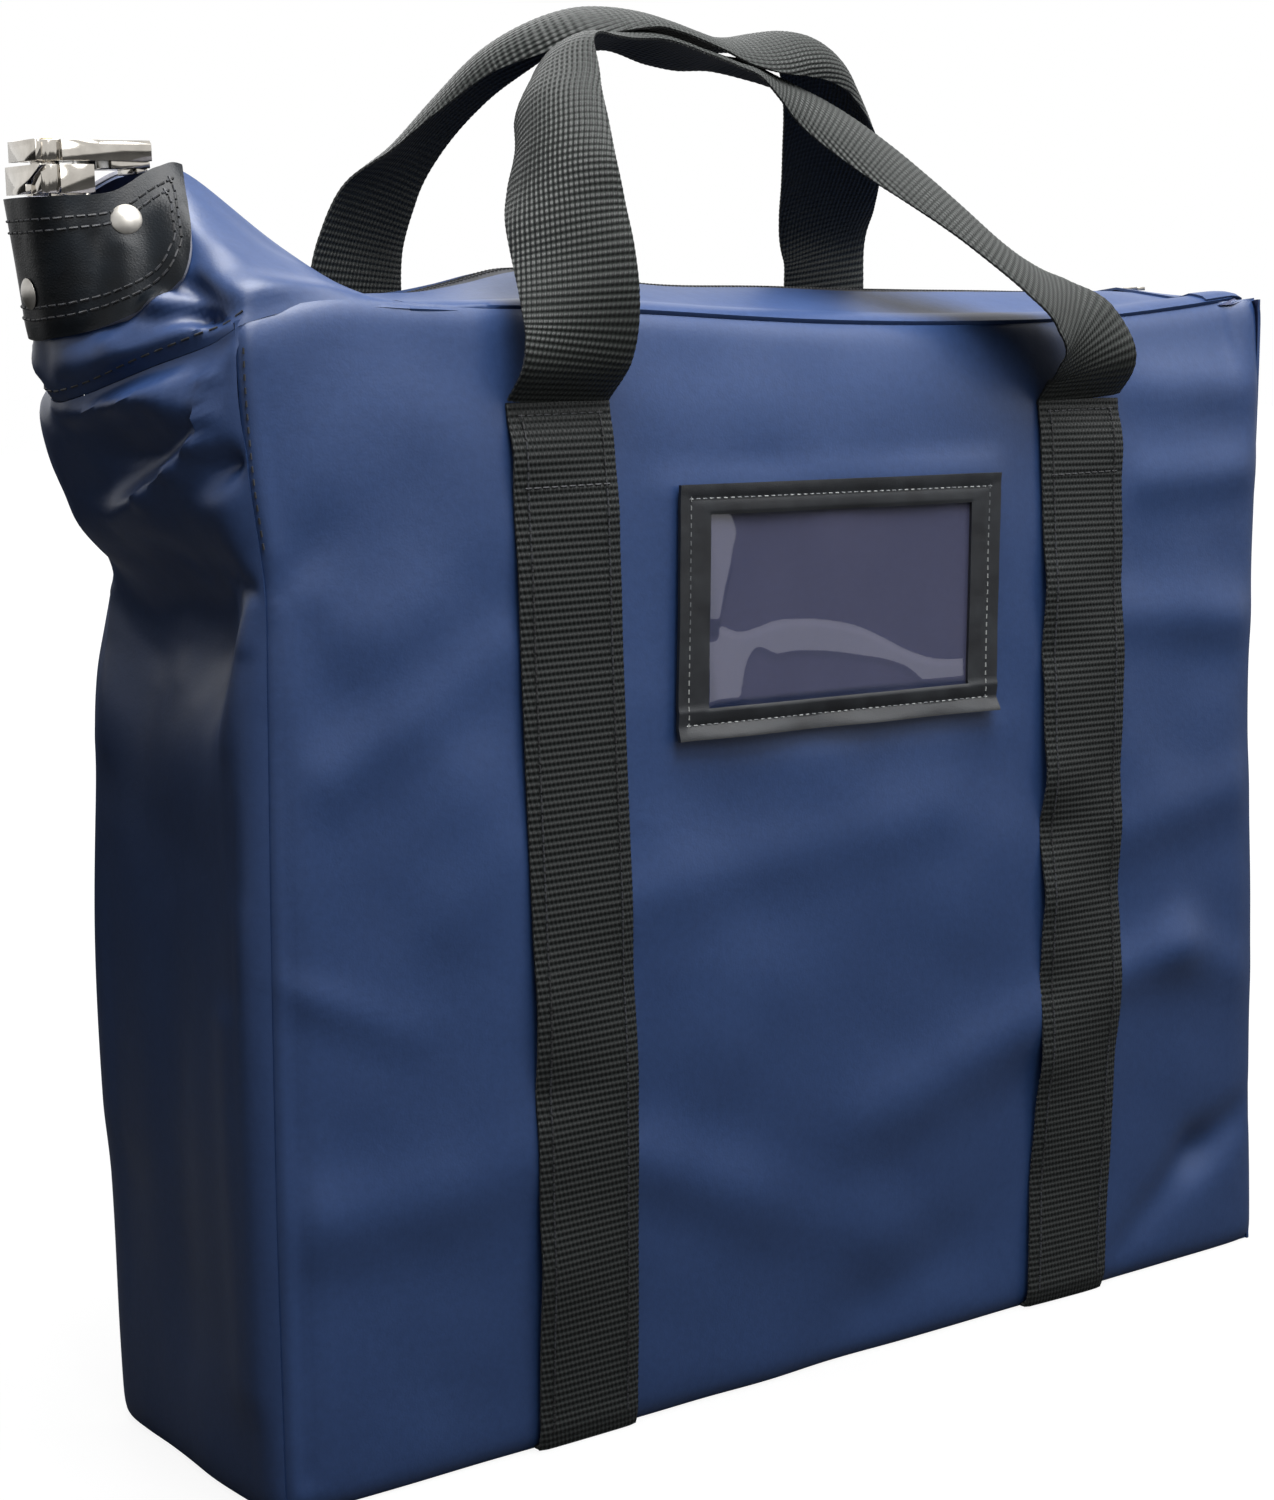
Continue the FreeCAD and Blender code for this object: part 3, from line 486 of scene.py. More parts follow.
frontFolds = [  # in (x, z)
    (-90, 354, 212, 356, 20, 20, -2.8, -3.4),
    (-212, 358, -120, 356, 22, 22, -0.8, -2.0),
    (-212, 374, 212, 374, 64, 64, -2.2, -5.6),
    (-90, 130, 110, 140, 105, 110, 4.4, 4.4),
    (10, 84, 98, 108, 15, 13, 1.6, 2.9),
    (-84, 90, 24, 38, 12, 16, 2.4, 1.4),
    (-84, 176, 45, 188, 12, 12, 1.3, 1.1),
    (-198, 90, -126, 94, 14, 15, 1.9, 1.7),
    (-208, 166, -164, 144, 5, 8, 1.5, 0.6),
    (-150, 180, -132, 194, 16, 14, 1.6, 1.4),
    (-126, 260, -188, 226, 11, 11, 1.2, 1.5),
    (-178, 266, -158, 274, 15, 15, 1.3, 1.3),
    (148, 331, 208, 329, 10, 10, 1.5, 2.4),
    (150, 297, 209, 299, 9, 10, 1.6, 2.6),
    (134, 250, 209, 243, 11, 11, 2.0, 2.6),
    (138, 171, 207, 182, 12, 12, 1.6, 1.8),
    (130, 118, 163, 124, 10, 12, 2.0, 2.4),
    (163, 124, 204, 107, 12, 11, 2.4, 1.8),
    (140, 14, 178, 42, 8, 9, -1.2, -2.8),
    (178, 42, 210, 56, 9, 8, -2.8, -2.0),
    (20, 20, 70, 34, 14, 18, -1.6, -1.2),
    (-204, 284, -168, 316, 6, 16, -1.8, 0.0),
    (-204, 280, -176, 244, 6, 16, -1.4, 0.0),
    (-196, 350, -150, 214, 16, 20, 0.9, 1.4),
    (-204, 272, -205.5, 12, 2.6, 3.2, -1.8, -2.0),
    (-206, 346, -202, 300, 3.0, 3.4, -0.5, -0.7),
]
backFolds = [
    (-200, 356, 205, 356, 26, 26, -3.6, -4.4),
    (0, 150, 30, 170, 100, 90, 3.0, 3.0),
    (-196, 282, -120, 300, 9, 22, -3.2, 0.0),
    (-196, 278, -140, 232, 8, 20, -2.6, 0.0),
    (-80, 120, 40, 76, 14, 12, 2.2, 1.6),
    (-60, 236, 70, 262, 13, 15, 1.6, 1.9),
    (20, 190, 82, 214, 12, 10, 1.9, 1.4),
    (130, 300, 206, 288, 10, 11, 1.8, 2.4),
    (128, 232, 204, 246, 12, 10, 1.6, 2.2),
    (132, 122, 205, 104, 13, 12, 2.2, 1.8),
    (-200, 150, -130, 128, 12, 14, 1.8, 1.4),
    (-196, 60, -140, 34, 11, 9, -1.6, -2.0),
    (150, 40, 205, 20, 10, 8, -2.2, -1.4),
]


pocket = {
    "frame": 1.3,
    "middle": (6.0, 263.9),
    "half": (68.1, 40.8),
    "stand": 0.9,                # how far the cloth behind it stands out, and how it leans back
    "lean": 0.012,
    "shear": (0.045, -0.0206),   # the frame isn't quite square: x per mm up, z per mm along
    "stitchInset": 4.6,
    "flare": (2.4, 0.4, 0.3),    # how far the edge lifts off at the foot, the sides and the top
}


def reachOf(side, x, z):  # how far a face stands out from the middle of the bag, away from its edges
    folds = frontFolds if side < 0 else backFolds
    relief = creases(x, z, folds) + ripples(x, z, 3 if side < 0 else 8, 0.7)
    if side < 0:  # the card pocket keeps the cloth beneath it flat
        (middleX, middleZ), (halfX, halfZ) = pocket["middle"], pocket["half"]
        inside = smooth((halfX + 12 - np.abs(x - middleX)) / 14)
        inside = inside * smooth((halfZ + 10 - np.abs(z - middleZ)) / 12)
        relief = relief + (pocket["stand"] - pocket["lean"] * (z - middleZ) - relief) * inside
    return halfDepth - body["faceInset"] + relief


def clothPiece(name, points, uv, turn=False):
    return thicken(gridPiece(name, points, nylon, uv, turn), body["fabric"], inner=nylonInside)


def uprightPanel(name, side, leftSeam, rightSeam, topSeam, node):
    across = spacing(2 * halfLength, body["step"])
    up = spacing(panelHigh[2], body["step"])
    s, t = np.meshgrid(across, up)
    zs = t * through(body[topSeam], -halfLength + 2 * halfLength * s)
    left, right = through(body[leftSeam], zs), through(body[rightSeam], zs)
    xs = left + (right - left) * s
    top = through(body[topSeam], xs)
    inset = body["seamInset"]
    turnIn = body["turnIn"]
    tuck = 1.5 * np.exp(-(xs - left) / 2.0) + np.exp(-(right - xs) / turnIn) + 1.2 * np.exp(-zs / turnIn)
    tuck = inset * tuck
    tuck += (inset + 0.8) * np.exp(-(top - zs) / 3.4)
    # the fold in the cloth dies away towards a seam, which holds it straight
    calm = smooth((xs - left) / 14) * smooth((right - xs) / 14)
    flat = halfDepth - body["faceInset"]
    reach = flat + (reachOf(side, xs, zs) - flat) * (0.25 + 0.75 * calm)
    ys = side * (reach - np.minimum(tuck, inset + 1.4))
    points = np.stack([xs, ys, zs], -1)
    # the edge is turned in under the flap, so that no slot shows there when the flap is up
    turned = [points[-1:] * (0.97, 1, 1) + np.array([0, -side * inwards, rise])
              for inwards, rise in ((2.5, -1.4), (7, -1.0), (12, -0.6), (17, -0.4))]
    cloth = np.concatenate([points] + turned)
    place(clothPiece(name, cloth, cloth[..., [0, 2]], side > 0), "bag", "nylon", node)


uprightPanel("frontPanel", -1, "frontLeftSeam", "frontRightSeam", "frontTopSeam", "front_panel")
uprightPanel("backPanel", 1, "backLeftSeam", "backRightSeam", "backTopSeam", "back_panel")
print("front and back panels ready")


# ear: upper rim and lower seam of its front half, from the top of the bag to the nose

ear = {
    "rim": [(-150, -12.6, 367.6), (-176, -12.2, 383.6), (-203, -11.6, 403.2), (-214, -12.6, 404),
            (-229, -13.4, 397.2), (-245.5, -13, 396.4), (-250.8, -9.3, 396.4), (-251.6, 0, 396.4)],
    "seam": [(-150, -51.4, 364.4), (-182, -52.2, 365.6), (-209, -54.8, 360.8), (-217, -47, 354.6),
             (-229, -32, 348), (-239.4, -15, 340.8), (-243.4, -7, 338.4), (-244, 0, 337.6)],
    "rows": 40,
    "perStep": 9,
    "high": 60,            # the height of its walls
    "belly": (2.2, 0.86, 0.13),    # how far the walls swell, where on the way down, over how much of it
    "welt": (1.6, 2.2),    # how deep and how wide the cloth turns in at the lower seam
}
earFolds = [  # in (x, z), as seen from the front
    (-218, 372, -224, 365, 4.2, 3.4, 0.8, 2.2),
    (-224, 365, -234, 355, 3.4, 3.2, 2.2, 1.8),
    (-216, 370, -211, 364, 3.4, 2.4, -3.6, -3.4),
    (-226, 361, -216, 362, 2.6, 3.0, -1.6, -3.6),
    (-216, 362, -210, 360, 3.0, 2.0, -3.6, -2.6),
    (-234, 349, -218, 357, 3.0, 2.2, 1.4, 1.8),
    (-241, 351, -235, 352, 6.0, 5.0, 1.8, 2.0),
    (-250, 344, -236, 342, 2.4, 2.4, -1.4, -0.6),
    (-200, 372, -180, 370, 9, 11, 2.4, 1.4),
    (-206, 380, -214, 373, 6, 4, 1.4, 0.4),
]


def bothSides(line):  # the front half of a line round the nose, carried on along the back
    line = [np.array(p, float) for p in line]
    return line + [p * (1, -1, 1) for p in line[-2::-1]]


earRims, earSeams = bothSides(ear["rim"]), bothSides(ear["seam"])
noseColumn = len(ear["rim"]) - 1


def earBase(u, v):  # u counts the columns from the front of the bag round the nose to the back, v runs down
    rim = through(list(enumerate(earRims)), u)
    seam = through(list(enumerate(earSeams)), u)
    return rim + (seam - rim) * np.asarray(v)[..., None]


def earSurface(u, v, lift=0.0, stiff=False):
    points = earBase(u, v)
    step = 1e-3
    alongU = earBase(np.minimum(u + step, 2 * noseColumn), v) - earBase(np.maximum(u - step, 0), v)
    alongV = earBase(u, v + step) - earBase(u, v - step)
    normals = unit(np.cross(alongU, alongV))
    x, z = points[..., 0], points[..., 2]
    (swell, swellAt, swellOver), (deep, wide) = ear["belly"], ear["welt"]
    belly = swell * np.exp(-((v - swellAt) / swellOver) ** 2)
    belly = belly * smooth(np.minimum(u, 2 * noseColumn - u) / 2.0)
    nose = np.exp(-((u - noseColumn) / 0.9) ** 2)
    relief = creases(x, z, earFolds) * smooth((v - 0.1) / 0.3) * (1 - nose)
    relief = relief + belly * (1 - 0.8 * np.exp(-((u - noseColumn) / 1.7) ** 2))
    relief += ripples(points[..., 1] + x, z, 21, 0.5, 14, 45) * smooth(v / 0.2) * smooth((1 - v) / 0.1)
    if stiff:
        relief = np.maximum(0.15 * relief, relief - 1.2)
    welt = -deep * np.exp(-(1 - v) * ear["high"] / wide)
    return points + normals * (relief * smooth((1 - v) / 0.12) + welt + lift)[..., None]


def earWall(name, start, end, node):
    u = np.linspace(start, end, (end - start) * ear["perStep"] + 1)
    v = np.linspace(0, 1, ear["rows"] + 1)
    u, v = np.meshgrid(u, v)
    place(clothPiece(name, earSurface(u, v), np.stack([u * 20, v * ear["high"]], -1)), "bag", "nylon", node)


earWall("earFrontWall", 0, noseColumn, "ear_front_wall")
earWall("earBackWall", noseColumn, 2 * noseColumn, "ear_back_wall")


# side panels

gussetProfiles = [  # upright sections of the left side: y, then (height, x) from the foot to the ear's seam
    (-50, [(0, -213), (200, -212.5), (250, -211), (270, -208.6), (281, -207.6), (290, -209.5),
           (300, -212.4), (310, -213.4), (320, -210.6), (327, -215.6), (334, -216), (346, -214),
           (357, -213)]),
    (-42, [(0, -213.6), (200, -212.8), (245, -211), (262, -207.6), (275, -205.6), (285, -206.4),
           (294, -211.4), (306, -216), (314, -217.4), (322, -220.6), (329, -220), (337, -227),
           (352, -221)]),
    (-30, [(0, -214), (200, -211.6), (240, -208), (255, -203.4), (270, -200), (284, -203), (294, -212),
           (306, -220), (315, -224.4), (322, -221.4), (330, -225), (338, -236), (347, -230.6)]),
    (-15, [(0, -214), (200, -211.4), (245, -205.6), (262, -199.6), (276, -200), (287, -206), (295, -215),
           (302, -223.6), (308, -227), (317, -223.4), (328, -228), (336, -240.6), (340, -239)]),
    (0, [(0, -213.6), (200, -211.4), (230, -209), (250, -204.6), (265, -201.6), (279, -204), (289, -213),
         (297, -222.6), (303, -227), (312, -228.6), (322, -233.6), (331, -238.6), (337.6, -244)]),
    (18, [(0, -213.6), (200, -211.6), (230, -208.6), (248, -205), (262, -202.4), (276, -205), (285, -212),
          (292, -220), (300, -227.6), (309, -231.6), (320, -236), (330, -238.6), (341, -238)]),
    (38, [(0, -213.4), (200, -212), (241, -211.4), (262, -207.4), (276, -206.6), (285, -209), (300, -217),
          (312, -222), (326, -226.6), (340, -227), (350.4, -224)]),
    (50, [(0, -212.6), (200, -212.4), (250, -209), (272, -204.4), (284, -202.6), (298, -206.6), (312, -211),
          (334, -214.6), (357, -213)]),
]
gussetFolds = [  # in (y, z); a rise is outwards, to the left
    (-51, 352, -49, 344, 1.6, 1.8, 1.0, 2.4),
    (-49, 344, -48, 333, 1.8, 2.0, 2.4, 2.8),
    (-45, 349, -43.6, 338, 1.6, 2.0, -1.6, -2.4),
    (-48, 333, -45, 325, 2.3, 2.8, 2.2, 2.3),
    (-45, 325, -36, 318, 2.8, 3.2, 2.3, 2.1),
    (-36, 318, -22, 310, 3.2, 3.6, 2.1, 1.8),
    (-22, 310, -2, 302, 3.6, 4.0, 1.8, 0.9),
    (-47, 338, -38, 338, 2.0, 2.6, 0.8, 0.8),
    (-57, 320, -45, 320, 2.0, 2.6, -3.4, -0.8),
    (-56, 312, -42, 305, 4, 8, 1.0, 1.2),
    (-57, 281, -46, 286, 2.2, 4, -2.6, -1.0),
    (-53, 278, -38, 240, 3.6, 8, 1.2, 1.2),
    (-51, 262, -47, 196, 3, 7, -1.0, -0.5),
    (42, 276, 42, 230, 4, 8, 2.2, 1.4),
    (-30, 326, 4, 326, 1.4, 1.6, 0.5, 0.4),
    (-34, 322.6, -4, 321, 1.2, 1.4, -0.5, -0.4),
    (-10, 190, 0, 60, 26, 30, -3.0, -2.6),
    (36, 200, 40, 110, 14, 16, 2.0, 1.6),
    (-36, 150, -42, 40, 9, 10, 1.4, 1.6),
]


def upright(s, edge, turnIn, fade):  # a side panel's turn in at its upright seams, and its calm beside them
    fromFront, fromBack = s * 2 * edge, (1 - s) * 2 * edge
    tuck = np.exp(-fromFront / turnIn) + np.exp(-fromBack / turnIn)
    return tuck, smooth(fromFront / fade) * smooth(fromBack / fade)


def leftGusset():
    across = spacing(2 * (halfDepth - 3), 1.7)
    up = spacing(338, 1.7, (0, 0.8, 1.8, 3, 5))
    s, t = np.meshgrid(across, up)
    # the upper edge runs along the ear's seam, from the front corner round the nose to the back corner
    u = 2.0 + (2 * noseColumn - 4.0) * s
    seam = earSurface(u[-1:], np.ones_like(u[-1:]))
    top = seam[..., 2] - 0.3
    zs = t * top
    edge = halfDepth - body["seamInset"] - 0.6
    wallY = -edge + 2 * edge * s
    ys = wallY + (seam[..., 1] - wallY) * smooth((t - 0.86) / 0.14)
    frontX, backX = through(body["frontLeftSeam"], zs), through(body["backLeftSeam"], zs)
    # each section is stretched to end at the seam, then the sections are joined across
    sections = [through([(z / line[-1][0], x) for z, x in line], t) for _, line in gussetProfiles]
    places = [-edge] + [y for y, _ in gussetProfiles] + [edge]
    xs = acrossSections(places, [frontX] + sections + [backX], ys)
    xs = xs + (seam[..., 0] - xs) * smooth((t - 0.975) / 0.025)
    tuck, calm = upright(s, edge, 2.2, 5)
    tuck, calm = tuck + np.exp(-zs / body["turnIn"]), calm * smooth((top - zs) / 5)
    out = (1.6 + 0.9 * smooth((310 - zs) / 40)) * (1 - np.minimum(tuck, 1.2))
    out = out + (creases(ys, zs, gussetFolds) + ripples(ys, zs, 5, 0.6)) * calm
    xs = xs - out * (1 - 0.8 * smooth((t - 0.97) / 0.03))
    piece = clothPiece("leftGusset", np.stack([xs, ys, zs], -1), np.stack([ys, zs], -1), True)
    place(piece, "bag", "nylon", "left_gusset")


def acrossSections(places, sections, at):  # smooth curve from section to section, for every row
    places, values = np.array(places, float), np.stack(sections)
    slopes = np.gradient(values, places, axis=0)
    i = np.clip(np.searchsorted(places, at) - 1, 0, len(places) - 2)
    h = places[i + 1] - places[i]
    t = np.clip((at - places[i]) / h, 0, 1)

    def pick(table, index):
        return np.take_along_axis(table, index[None], 0)[0]

    return hermite(t, h, pick(values, i), pick(values, i + 1), pick(slopes, i), pick(slopes, i + 1))


rightFolds = [
    (0, 330, 0, 120, 16, 22, -7.0, -4.0),
    (-50, 300, -10, 262, 7, 14, -3.0, -2.0),
    (50, 306, 12, 270, 7, 14, -3.0, -2.4),
    (-34, 240, -30, 90, 10, 12, 2.0, 1.4),
    (34, 230, 32, 80, 10, 12, 2.2, 1.2),
    (-50, 180, -8, 150, 6, 12, 1.6, 0.6),
    (0, 60, 4, 20, 24, 18, -2.6, -1.0),
]


def rightGusset():
    across = spacing(2 * (halfDepth - 3), 3)
    up = spacing(350, 3)
    s, t = np.meshgrid(across, up)
    top = 359.8 - 0.4 * np.sin(np.pi * s)
    zs = t * top
    frontX, backX = through(body["frontRightSeam"], zs), through(body["backRightSeam"], zs)
    edge = halfDepth - body["seamInset"] - 0.6
    ys = -edge + 2 * edge * s
    turnIn = body["turnIn"]
    tuck, calm = upright(s, edge, turnIn, 10)
    tuck = tuck + np.exp(-zs / turnIn) + np.exp(-(top - zs) / turnIn)
    calm = calm * smooth((top - zs) / 14)
    out = 2.2 * (1 - np.minimum(tuck, 1.3)) + (creases(ys, zs, rightFolds) + ripples(ys, zs, 6, 0.7)) * calm
    xs = frontX + (backX - frontX) * s + out
    piece = clothPiece("rightGusset", np.stack([xs, ys, zs], -1), np.stack([ys, zs], -1))
    place(piece, "bag", "nylon", "right_gusset")


def basePanel():
    across = spacing(2 * halfLength, 3)
    deep = spacing(2 * halfDepth, 4, (0, 1, 2.4, 4.4))
    s, t = np.meshgrid(across, deep)
    edge = halfDepth - body["seamInset"] - 1.2
    feet = {seam: line[0][1] for seam, line in body.items() if seam.endswith("Seam")}
    left = feet["frontLeftSeam"] + (feet["backLeftSeam"] - feet["frontLeftSeam"]) * t
    right = feet["frontRightSeam"] + (feet["backRightSeam"] - feet["frontRightSeam"]) * t
    xs = left + (right - left) * s
    ys = -edge + 2 * edge * t
    zs = np.full_like(xs, 0.1)
    for node in ("base_left_strap", "base_right_strap"):
        low, high = corners(node)
        out = np.maximum(low[0] - 1.5 - xs, xs - high[0] - 1.5)
        zs += 2.3 * smooth(1 - out / 3.0)
    piece = clothPiece("basePanel", np.stack([xs, ys, zs], -1), np.stack([xs, ys], -1), True)
    place(piece, "bag", "nylon", "base_panel")


leftGusset()
rightGusset()
basePanel()
print("side panels, ear and base ready")


# top: two flaps with the zip between them

top = {
    # the ridge that the zip makes, as (x, height)
    "ridge": [(-156, 367.6), (-140, 367.8), (-125, 368.6), (-108, 372), (-86, 376.6), (-62, 374.6),
              (-31, 371), (20, 369.4), (60, 368), (131, 366), (198, 363.4), (212, 361.4)],
    "width": 57,           # from the seam to the ridge
    "flapEdge": 0.79,      # share of the way from the seam to the ridge that the cloth covers
    "tapeEdge": 0.975,
    "blendLeft": (-150, -96),
    "blendRight": (150, 198),
    "middle": 20,          # where each flap's two halves meet
    "cloth": (-152, 204),  # from the left end to the right
    "tape": (-152, 200),
    "coil": (-150, 198),
    "coilShare": 0.955,
    "earEnd": -150,        # where the ear starts, how far out its seam lies there, and the share at its rim
    "earSeam": 51.4,
    "earRim": 0.775,
    "edgeInside": 4.4,     # the flap's edge lies this far inside the panel's face, read at this height
    "readAt": 356,
}


def topPoint(side, x, share, lift=0.0):
    seamZ = through(body["frontTopSeam" if side < 0 else "backTopSeam"], x)
    ridgeZ = through(top["ridge"], x)
    past = smooth((x - top["earEnd"]) / 45)   # level with the ear at its end, then with the panel beneath
    edge = reachOf(side, x, top["readAt"]) - top["edgeInside"]
    edge = edge + (top["earSeam"] - edge) * (1 - past)
    # the cloth rolls out a little over its seam
    roll = 4.0 * past * np.exp(-((share - 0.05) / 0.04) ** 2) * smooth(share / 0.03)
    y = side * (edge * (1 - share) + roll)
    rise = (smooth(share) * 0.35 + share * 0.65) * past + np.minimum(share / top["earRim"], 1) * (1 - past)
    rise = rise - 1.6 * np.exp(-share * edge / 2.2) / np.maximum(ridgeZ - seamZ, 2)
    belly = 2.6 * np.exp(-((share - 0.12) / 0.11) ** 2) * smooth(share / 0.06) * (0.1 + 0.9 * past)
    slack = past * ripples(x, y, 14 if side < 0 else 15, 0.9, 30, 110) * np.sin(np.pi * np.clip(share, 0, 1))
    return np.stack([x, y, seamZ + (ridgeZ - seamZ) * rise + belly + slack + lift], -1)


flapShares = [0, 0.012, 0.026, 0.045, 0.07]   # rows close together along the seam


def flapHalf(name, side, start, end, flap, replaced):
    x = np.linspace(start, end, round((end - start) / 3) + 1)
    xs, share = np.meshgrid(x, np.concatenate([flapShares, np.linspace(0.1, top["flapEdge"], 16)]))
    points = topPoint(side, xs, share)
    # the seam allowance hangs inside the panel, so that no slot shows there when the flap is up
    allowance = [points[:1] + np.array([0, -side * inwards, -drop])
                 for inwards, drop in ((2.2, 13), (1.8, 8), (1.2, 3.5))]
    points = np.concatenate(allowance + [points])
    uv = np.concatenate([points[:3, :, [0, 2]] - 360, np.stack([xs, share * top["width"]], -1)])
    dressFlap(clothPiece(name, points, uv, side > 0), end, replaced)


def dressFlap(piece, end, replaced):
    if replaced:
        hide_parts(replaced)
    left = end <= top["middle"]
    if left:
        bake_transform(piece)
    else:
        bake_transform(piece)


def tapeHalf(name, side, start, end, flap, replaced):
    x = np.linspace(start, end, round((end - start) / 3) + 1)
    xs, share = np.meshgrid(x, np.linspace(top["flapEdge"] - 0.05, top["tapeEdge"], 8))
    uv = np.stack([xs, share * top["width"]], -1)
    piece = gridPiece(name, topPoint(side, xs, share, -1.2), tape, uv, turn=side > 0)
    dressFlap(thicken(piece, 0.6), end, replaced)


for side, front in ((-1, "front"), (1, "back")):
    for half, strip, (start, end), replaced in ((flapHalf, "Flap", top["cloth"], "_flap"),
                                                (tapeHalf, "Tape", top["tape"], "_zipper_tape")):
        half(front + strip + "Left", side, start, top["middle"], front + "_flap", None)
        half(front + strip + "Right", side, top["middle"], end, front + "_flap", front + replaced)


def endTab():  # closes the right end of the top, past the zip
    x = np.linspace(190, 209.4, 14)
    xs, share = np.meshgrid(x, np.concatenate([flapShares, np.linspace(0.1, 1.0, 18)]))
    points = np.vstack([topPoint(-1, xs, share), topPoint(1, xs, share)[-2::-1]])
    points[..., 2] += 0.9
    points[..., 2] -= 1.8 * np.exp(-(x[-1] - points[..., 0]) / 2.2)
    place(clothPiece("rightEndTab", points, points[..., :2]), "bag", "nylon", "right_end_tab")


endTab()
print("top ready")


# leather collar

collar = {
    "leather": 1.6,
    "lift": 1.8,
    # the right-hand edge, as (share of the way down, column), and how far down the wall it reaches, by column
    "edge": [(0, 2.2), (0.2, 2.3), (0.5, 2.42), (0.75, 2.54), (0.9, 2.76), (1, 3.1)],
    "reach": [(2.2, 0.56), (2.6, 0.6), (3.08, 0.645), (3.48, 0.68), (3.88, 0.71), (4.6, 0.705), (5.4, 0.69),
              (7, 0.69)],
    "stitchRows": (4.6, 7.2),      # how far in from its edges
    "flat": (118.0, 31.0),         # its length and height, for the stitches
}
collarFolds = [
    (-243, 388, -243, 362, 4.5, 5, 0.8, 1.0),
    (-236, 384, -238.5, 360, 3.4, 3.4, -0.5, -1.0),
    (-229, 382, -234, 358, 3.2, 3.6, 0.8, 1.4),
    (-214, 392, -219, 374, 4.4, 5, 1.2, 1.2),
    (-222, 388, -224, 366, 3.4, 3.4, -0.4, -0.9),
]


def collarSurface(s, r, lift):  # s runs round the collar from one end to the other, r down it
    edge = through(collar["edge"], r)
    u = edge + (2 * noseColumn - 2 * edge) * s
    mirrored = np.minimum(u, 2 * noseColumn - u)
    down = r * through(collar["reach"], mirrored)
    points = earSurface(u, down, lift, True)
    out = points - earSurface(u, down, lift - 1, True)
    return points + out * creases(points[..., 0], points[..., 2], collarFolds)[..., None]


def leatherCollar():
    s = np.linspace(0, 1, 150)
    r = np.concatenate([[-0.012], np.linspace(0.02, 0.98, 46), [1.0]])
    s, r = np.meshgrid(s, r)
    points = collarSurface(s, r, collar["lift"])
    piece = gridPiece("leatherCollar", points, collarLeather, np.stack([s * 150, r * 45], -1))
    thicken(piece, collar["leather"], inner=rawEdge, rim=rawEdge, sharp=60)
    place(piece, "bag", "collar_leather", "leather_collar")


leatherCollar()
print("collar ready")


# webbing

def nodeTree(name, inputs):  # geometry nodes that take a mesh and the values named
    tree = bpy.data.node_groups.new(name, "GeometryNodeTree")
    for socket, kind in (("Geometry", "Geometry"),) + inputs:
        tree.interface.new_socket(socket, in_out="INPUT", socket_type="NodeSocket" + kind)
    tree.interface.new_socket("Geometry", in_out="OUTPUT", socket_type="NodeSocketGeometry")
    return tree, addNode(tree, "NodeGroupInput").outputs


def throughNodes(piece, tree, values, sharp):
    modifier = piece.modifiers.new("nodes", "NODES")
    modifier.node_group = tree
    for item in tree.interface.items_tree:
        if item.item_type == "SOCKET" and item.in_out == "INPUT" and item.name in values:
            modifier[item.identifier] = values[item.name]
    return settle(piece, sharp)


def ribTree():  # pushes the surface in and out along the webbing, one wave to a rib
    tree, given = nodeTree("webbing ribs", (("Rib Pitch", "Float"), ("Rib Depth", "Float")))
    along = addNode(tree, "GeometryNodeInputNamedAttribute", {"Name": "alongWeb"}, data_type="FLOAT")
    ribs = addNode(tree, "ShaderNodeMath", {0: along, 1: given["Rib Pitch"]}, operation="DIVIDE")
    turns = addNode(tree, "ShaderNodeMath", {0: ribs, 1: 2 * math.pi}, operation="MULTIPLY")
    wave = addNode(tree, "ShaderNodeMath", {0: turns}, operation="SINE")
    height = addNode(tree, "ShaderNodeMath", {0: wave, 1: given["Rib Depth"]}, operation="MULTIPLY")
    normal = addNode(tree, "GeometryNodeInputNormal")
    push = addNode(tree, "ShaderNodeVectorMath", {0: normal, "Scale": height}, operation="SCALE")
    moved = addNode(tree, "GeometryNodeSetPosition", {"Geometry": given["Geometry"], "Offset": push})
    addNode(tree, "NodeGroupOutput", {"Geometry": moved})
    return tree


ribs = ribTree()


